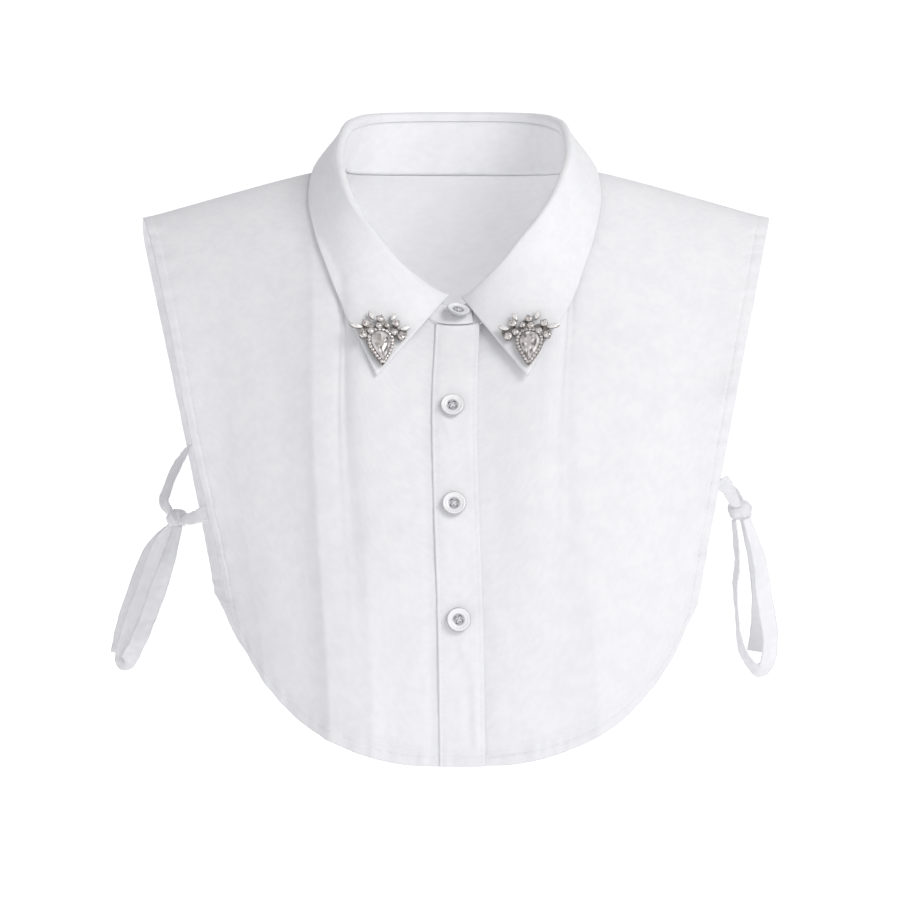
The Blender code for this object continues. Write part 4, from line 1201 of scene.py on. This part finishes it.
for side, sign in (("right", -1.0), ("left", 1.0)):
    x, z = BROOCH_CENTRES[side]
    ray_start = Vector((x * MM, -1.0, z * MM))
    place, normal, _, _ = leaf_tree.ray_cast(ray_start, Vector((0.0, 1.0, 0.0)))
    if normal.y > 0.0:
        normal = -normal
    seat = frame_at(place / MM + normal * (0.5 * 1.4 + BROOCH_SEAT), normal)
    mirror = sign

    # Metal back: a scalloped plate, a wall round the pear and a cup for each stone
    metal = bmesh.new()
    for scale, low, high in ((0.98, 0.0, 1.0), (0.86, 1.0, 1.45)):
        outline = drop_outline(PEAR_WIDTH * scale, PEAR_HEIGHT * scale, 48)
        base = metal.faces.new([metal.verts.new((px * mirror * MM, (py - PEAR_DROP) * MM,
                                                 low * MM)) for px, py in outline])
        lifted = bmesh.ops.extrude_face_region(metal, geom=[base])
        bmesh.ops.translate(metal, vec=(0.0, 0.0, (high - low) * MM), verts=[
            item for item in lifted["geom"] if isinstance(item, bmesh.types.BMVert)])
    for px, py, radius in ROUND_STONES:
        at = Matrix.Translation((px * mirror * MM, py * MM, 1.35 * MM))
        bmesh.ops.create_cone(metal, cap_ends=True, segments=20, radius1=0.8 * radius * MM,
                              radius2=1.02 * radius * MM, depth=2.5 * MM, matrix=at)
        for i in range(4):
            angle = math.radians(45.0 + 90.0 * i + 20.0 * py)
            claw = Matrix.Translation(((px + radius * math.cos(angle)) * mirror * MM,
                                       (py + radius * math.sin(angle)) * MM, 2.75 * MM))
            bmesh.ops.create_icosphere(metal, subdivisions=1, radius=0.38 * MM, matrix=claw)
    for px, py, turn, length, width in MARQUISE:
        at = (Matrix.Translation((px * mirror * MM, py * MM, 0.9 * MM))
              @ Matrix.Rotation(math.radians(turn if mirror > 0 else 180.0 - turn), 4, "Z"))
        outline = marquise_outline(length, width, 20)
        base = metal.faces.new([metal.verts.new(at @ Vector((qx * MM, qy * MM, 0.0)))
                                for qx, qy in outline])
        lifted = bmesh.ops.extrude_face_region(metal, geom=[base])
        bmesh.ops.translate(metal, vec=(0.0, 0.0, 0.8 * MM), verts=[
            item for item in lifted["geom"] if isinstance(item, bmesh.types.BMVert)])
    for px, py in ((-5.0, 6.0), (4.5, 7.0), (-9.0, 5.0), (8.0, 6.0), (-2.5, 9.5), (-13.0, 4.5)):
        at = Matrix.Translation((px * mirror * MM, py * MM, 0.55 * MM))
        bmesh.ops.create_cone(metal, cap_ends=True, segments=16, radius1=2.9 * MM,
                              radius2=2.7 * MM, depth=1.1 * MM, matrix=at)
    halo = drop_outline(PEAR_WIDTH - 2.4, PEAR_HEIGHT - 3.0, 400)
    lengths = [0.0]
    for first, second in zip(halo, halo[1:] + halo[:1]):
        lengths.append(lengths[-1] + math.dist(first, second))
    halo_places = []
    for i in range(HALO_STONES):
        target = lengths[-1] * (i + 0.5) / HALO_STONES
        index = next(k for k, length in enumerate(lengths) if length >= target)
        hx, hy = halo[min(index, len(halo) - 1)]
        halo_places.append((hx * mirror, hy - PEAR_DROP))
    for hx, hy in halo_places:
        at = Matrix.Translation((hx * MM, hy * MM, 1.2 * MM))
        bmesh.ops.create_cone(metal, cap_ends=True, segments=10, radius1=1.2 * MM,
                              radius2=1.22 * MM, depth=1.3 * MM, matrix=at)
    bmesh.ops.recalc_face_normals(metal, faces=metal.faces)
    metal.transform(seat)
    setting = keep(f"brooch_{side}_metal", metal, plate_finish, 30.0)
    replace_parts(setting, f"brooch_{side}_setting")

    # Pear stone
    pear = bmesh.new()
    at = Matrix.Translation((0.0, -PEAR_DROP * MM, (PLATE_THICKNESS + 0.2) * MM))
    cut_stone(pear, drop_outline(STONE_WIDTH, STONE_HEIGHT, 18), stone_rings(STONE_RISE), at,
              11.0 + sign)
    bmesh.ops.recalc_face_normals(pear, faces=pear.faces)
    pear.transform(seat)
    stone = keep(f"brooch_{side}_pear", pear, crystal, 0.0)
    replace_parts(stone, f"brooch_{side}_stone")

    # Round stones and the ring round the pear
    small = bmesh.new()
    circle = [(math.cos(math.pi * i / 6.0), math.sin(math.pi * i / 6.0)) for i in range(12)]
    for index, (px, py, radius) in enumerate(ROUND_STONES):
        at = Matrix.Translation((px * mirror * MM, py * MM, 2.45 * MM))
        outline = [(radius * cx * 0.94, radius * cy * 0.94) for cx, cy in circle]
        cut_stone(small, outline, stone_rings(0.95), at, 30.0 + 7.0 * index)
    for index, (hx, hy) in enumerate(halo_places):
        at = Matrix.Translation((hx * MM, hy * MM, 1.8 * MM))
        outline = [(HALO_STONE * cx * 0.9, HALO_STONE * cy * 0.9) for cx, cy in circle[::2]]
        cut_stone(small, outline, stone_rings(0.6), at, 90.0 + 5.0 * index)
    bmesh.ops.recalc_face_normals(small, faces=small.faces)
    small.transform(seat)
    keep(f"brooch_{side}_small_stones", small, crystal, 0.0)

    # Pale marquise stones
    pale = bmesh.new()
    for index, (px, py, turn, length, width) in enumerate(MARQUISE):
        at = (Matrix.Translation((px * mirror * MM, py * MM, 1.6 * MM))
              @ Matrix.Rotation(math.radians(turn if mirror > 0 else 180.0 - turn), 4, "Z"))
        cut_stone(pale, marquise_outline(length * 0.92, width * 0.92, 14), stone_rings(1.1), at,
                  150.0 + 9.0 * index)
    bmesh.ops.recalc_face_normals(pale, faces=pale.faces)
    pale.transform(seat)
    keep(f"brooch_{side}_marquise", pale, pale_crystal, 0.0)


# Side ties
# Cotton tape, folded in four and sewn, 9.5 mm wide. One is sewn to each armhole edge, and
# front and back are tied in a slip knot that leaves a hanging loop and a tail.
TIE_WIDTH = 9.5
TIE_WALL = 0.85
TIE_COLUMNS = 8
TIE_SEAT = 0.2
TIE_START = 0.3
TIE_INWARD = 0.6                    # a front tie starts this far behind the panel's edge
FRONT_TIE_TURN = 20.0
BACK_TIE_TURN = 70.0
KNOT_CENTRES = {"right": (-158.5, -9.0, -198.0), "left": (161.6, -8.0, -193.3)}
KNOT_RADII = {"right": (6.0, 4.6, 5.8), "left": (7.2, 4.6, 6.2)}
FRONT_TIE_HEIGHT = {"right": -193.0, "left": -176.0}
BACK_TIE_HEIGHT = {"right": -158.0, "left": -176.0}
# Rows of x, y, z, turn of the tape in degrees (0 shows its face), width
TIE_TAPES = {
    "right_back_tie": (
        (-162.5, 30.0, -170.0, 55.0, 8.0),
        (-167.3, 10.0, -187.0, 40.0, 8.0),
        (-165.6, -2.5, -194.5, 40.0, 5.0),
    ),
    "right_front_tie": (
        (-147.0, -47.0, -197.0, 30.0, 8.0),
        (-151.0, -20.0, -198.5, 35.0, 5.5),
    ),
    "right_tie_loop": (
        (-157.5, -13.0, -204.8, 15.0, 5.0),
        (-163.2, -16.0, -221.5, 10.0, 8.5),
        (-168.9, -16.5, -238.5, -5.0, 9.5),
        (-175.6, -16.5, -256.7, 8.0, 9.5),
        (-182.0, -16.5, -271.5, 0.0, 9.5),
        (-187.0, -13.5, -279.5, -4.0, 9.5),
        (-189.0, -9.5, -276.0, 0.0, 9.5),
        (-184.8, -8.0, -258.4, 8.0, 9.5),
        (-177.6, -7.5, -238.5, -4.0, 9.0),
        (-170.2, -7.5, -216.0, 8.0, 8.0),
        (-163.4, -8.0, -204.6, 20.0, 5.0),
    ),
    "right_tie_tail": (
        (-162.0, -1.6, -204.0, 10.0, 5.0),
        (-174.5, 0.0, -217.0, 12.0, 8.0),
        (-184.1, 0.0, -242.5, -6.0, 9.0),
        (-189.8, 0.0, -261.2, 6.0, 9.5),
        (-192.6, -0.5, -275.4, 0.0, 9.5),
    ),
    "left_back_tie": (
        (160.0, 28.0, -184.0, 40.0, 8.0),
        (165.0, 3.0, -190.6, 30.0, 5.0),
    ),
    "left_front_tie": (
        (152.8, -43.0, -182.5, 35.0, 8.0),
        (156.2, -17.0, -188.6, 35.0, 5.5),
    ),
    "left_tie_loop": (
        (157.0, -8.5, -200.4, 60.0, 5.0),
        (159.8, -10.0, -221.7, 76.0, 9.0),
        (158.6, -11.0, -238.8, 84.0, 9.5),
        (161.0, -12.0, -267.2, 76.0, 9.5),
        (165.8, -13.0, -279.0, 60.0, 9.5),
        (171.6, -14.0, -284.2, 40.0, 9.5),
        (176.6, -14.5, -279.5, 26.0, 9.5),
        (178.2, -14.5, -264.4, 12.0, 9.5),
        (174.6, -14.0, -241.6, 4.0, 9.5),
        (172.2, -13.0, -221.7, 14.0, 8.0),
        (167.2, -11.5, -200.6, 26.0, 5.0),
    ),
    "left_tie_tail": (
        (165.4, -4.2, -200.6, 20.0, 5.0),
        (170.5, -3.0, -221.7, 12.0, 8.0),
        (173.0, -3.0, -243.0, -8.0, 9.0),
        (172.4, -4.0, -262.0, 14.0, 9.5),
        (170.6, -4.5, -274.0, 8.0, 9.5),
    ),
}


def knot_groove(across):
    """The knot is pinched in at its middle, where one tape wraps round the other."""
    return 1.0 - 0.12 * math.exp(-(across / 0.3) ** 2)


def seat_on_knot(row, side):
    """Move the end of a tape straight in, until it goes into the knot's folds."""
    centre = Vector(KNOT_CENTRES[side])
    radii = KNOT_RADII[side]
    away = Vector(row[0:3]) - centre
    on_ball = Vector(c / r for c, r in zip(away, radii)).normalized()
    surface = Vector(c * r for c, r in zip(on_ball, radii)) * knot_groove(on_ball.x)
    place = centre + away.normalized() * (surface.length + TIE_SEAT)
    return (*place, *row[3:])


def armhole_point(point_at, side, height):
    """Point of a panel's armhole edge at a height."""
    low, high = 0.0, 1.0
    for _ in range(24):
        v = 0.5 * (low + high)
        if point_at(side, v).z > height:
            low = v
        else:
            high = v
    return point_at(side, v)


def tape(name, rows, seed):
    """Tape along a path, turned and narrowed as its rows say, with sewn, puckered edges."""
    keyed = tuple((float(i), *row) for i, row in enumerate(rows))
    last = len(rows) - 1
    length = sum(math.dist(a[0:3], b[0:3]) for a, b in zip(rows, rows[1:]))

    def point_at(u, v):
        key = last * v
        x, y, z, turn, width = read_table(keyed, key)
        ahead = Vector(read_table(keyed, min(key + 0.05, last))[0:3])
        behind = Vector(read_table(keyed, max(key - 0.05, 0.0))[0:3])
        along = (ahead - behind).normalized()
        flat = along.cross(Vector((0.0, 1.0, 0.0))).normalized()
        edge = along.cross(flat)
        waver = noise.noise(Vector((length * v / 16.0, seed, 0.5)))
        angle = math.radians(turn + 14.0 * waver)
        across = flat * math.cos(angle) + edge * math.sin(angle)
        facing = along.cross(across).normalized()
        pucker = noise.noise(Vector((length * v / 3.4, 4.0 * u, seed)))
        dish = 0.5 * math.cos(2.0 * math.pi * (u - 0.5)) * min(1.0, 5.0 / width)
        narrow = 1.0 + 0.09 * noise.noise(Vector((length * v / 7.0, seed, 9.0)))
        lift = facing * (0.45 * pucker + dish * 0.6)
        return Vector((x, y, z)) + across * (width * narrow * (u - 0.5)) + lift

    steps = max(16, int(length / 1.1))
    piece, _ = cloth_sheet(name, TIE_COLUMNS, steps, (0.0095, length * MM), point_at,
                           TIE_WALL, cotton)
    return piece


for side, sign in (("right", -1.0), ("left", 1.0)):
    starts = {
        f"{side}_front_tie": (front_point, FRONT_TIE_HEIGHT[side], FRONT_TIE_TURN),
        f"{side}_back_tie": (back_point, BACK_TIE_HEIGHT[side], BACK_TIE_TURN),
    }
    for seed, (name, table) in enumerate(TIE_TAPES.items()):
        if not name.startswith(side):
            continue
        rows = list(table)
        if name in starts:
            point_at, height, turn = starts[name]
            edge = armhole_point(point_at, sign, height)
            rows[-1] = seat_on_knot(rows[-1], side)
            inward = TIE_INWARD if point_at is front_point else 0.0
            start = (edge.x + sign * TIE_START, edge.y + inward, edge.z)
            rows.insert(0, (*start, turn, TIE_WIDTH))
        else:
            rows[0] = seat_on_knot(rows[0], side)
        if name.endswith("loop"):
            rows[-1] = seat_on_knot(rows[-1], side)
        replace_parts(tape(f"{name}_cloth", rows, 1.7 * seed), name)

    knot = bmesh.new()
    bmesh.ops.create_uvsphere(knot, u_segments=72, v_segments=48, radius=1.0)
    for vert in knot.verts:
        ball = vert.co.copy()
        wrap = math.sin(9.0 * ball.x + 4.0 * ball.z + 2.0 * sign)
        size = knot_groove(ball.x) * (1.0 + 0.05 * wrap)
        size += 0.10 * noise.noise(ball * 2.2 + Vector((sign, 0.0, 4.0)))
        vert.co = Vector(c * r for c, r in zip(ball, KNOT_RADII[side])) * (size * MM)
    bmesh.ops.translate(knot, verts=knot.verts, vec=Vector(KNOT_CENTRES[side]) * MM)
    lump = keep(f"{side}_knot_cloth", knot, thread_finish, 180.0)
    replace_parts(lump, f"{side}_tie_knot")


# Floor
# A wide pale floor under the garment, seen from above only.
FLOOR_HEIGHT = -0.43
floor_material, shader, start = finish("pale floor")
shader.inputs["Base Color"].default_value = (0.93, 0.93, 0.93, 1.0)
shader.inputs["Roughness"].default_value = 0.9
shader.inputs["Emission Color"].default_value = (1.0, 1.0, 1.0, 1.0)
shader.inputs["Emission Strength"].default_value = 0.75
tree = floor_material.node_tree
seen_from_below = start.node("ShaderNodeNewGeometry", output="Backfacing")
clear = tree.nodes.new("ShaderNodeBsdfTransparent")
blend = tree.nodes.new("ShaderNodeMixShader")
tree.links.new(seen_from_below.socket, blend.inputs[0])
tree.links.new(shader.outputs[0], blend.inputs[1])
tree.links.new(clear.outputs[0], blend.inputs[2])
tree.links.new(blend.outputs[0], tree.nodes["Material Output"].inputs["Surface"])
floor_bm = bmesh.new()
bmesh.ops.create_circle(floor_bm, cap_ends=True, segments=96, radius=14.0,
                        matrix=Matrix.Translation((0.0, 0.0, FLOOR_HEIGHT)))
floor_mesh = bpy.data.meshes.new("floor")
floor_bm.to_mesh(floor_mesh)
floor_bm.free()
floor_mesh.materials.append(floor_material)
floor = bpy.data.objects.new("floor", floor_mesh)
floor.visible_diffuse = False
floor.visible_glossy = False
scene.collection.objects.link(floor)


# Light
# A white studio: bright all round behind the garment, softer from the front left, with
# one large soft lamp high at the front right.
SURROUND_RIGHT = 0.45               # brightness seen looking straight that way
SURROUND_LEFT = 0.50
SURROUND_FRONT = 0.66
SURROUND_BELOW = 0.98
SURROUND_TINT = (1.0, 1.0, 1.025, 1.0)
BACKDROP = 1.06
KEY_PLACE = (1.15, -1.25, 0.95)
KEY_SIZE = 1.1
KEY_POWER = 16.8
world = bpy.data.worlds.new("studio")
world.use_nodes = True
scene.world = world
start = Signal(world)
direction = start.node("ShaderNodeTexCoord", output="Generated")
sideways, depth, height = (
    start.node("ShaderNodeSeparateXYZ", inputs={0: direction}, output=axis)
    for axis in range(3))
studio = (sideways.maths("MAXIMUM", 0.0) * SURROUND_RIGHT
          + (0.0 - sideways).maths("MAXIMUM", 0.0) * SURROUND_LEFT
          + (0.0 - depth).maths("MAXIMUM", 0.0) * SURROUND_FRONT
          + (0.0 - height).maths("MAXIMUM", 0.0) * SURROUND_BELOW)
behind = depth.between(0.35, 0.75)
brightness = studio + behind * BACKDROP
tinted = start.node("ShaderNodeVectorMath", {"operation": "SCALE"},
                    {0: SURROUND_TINT[:3], "Scale": brightness})
background = world.node_tree.nodes["Background"]
world.node_tree.links.new(tinted.socket, background.inputs["Color"])

key_data = bpy.data.lights.new("key", "AREA")
key_data.shape = "DISK"
key_data.size = KEY_SIZE
key_data.energy = KEY_POWER
key = bpy.data.objects.new("key", key_data)
key.location = KEY_PLACE
aim = Vector((0.0, -0.05, -0.14)) - Vector(KEY_PLACE)
key.rotation_euler = aim.to_track_quat("-Z", "Y").to_euler()
scene.collection.objects.link(key)

scene.view_settings.view_transform = "Standard"
scene.view_settings.look = "None"
scene.view_settings.exposure = 0.0
scene.view_settings.gamma = 1.0
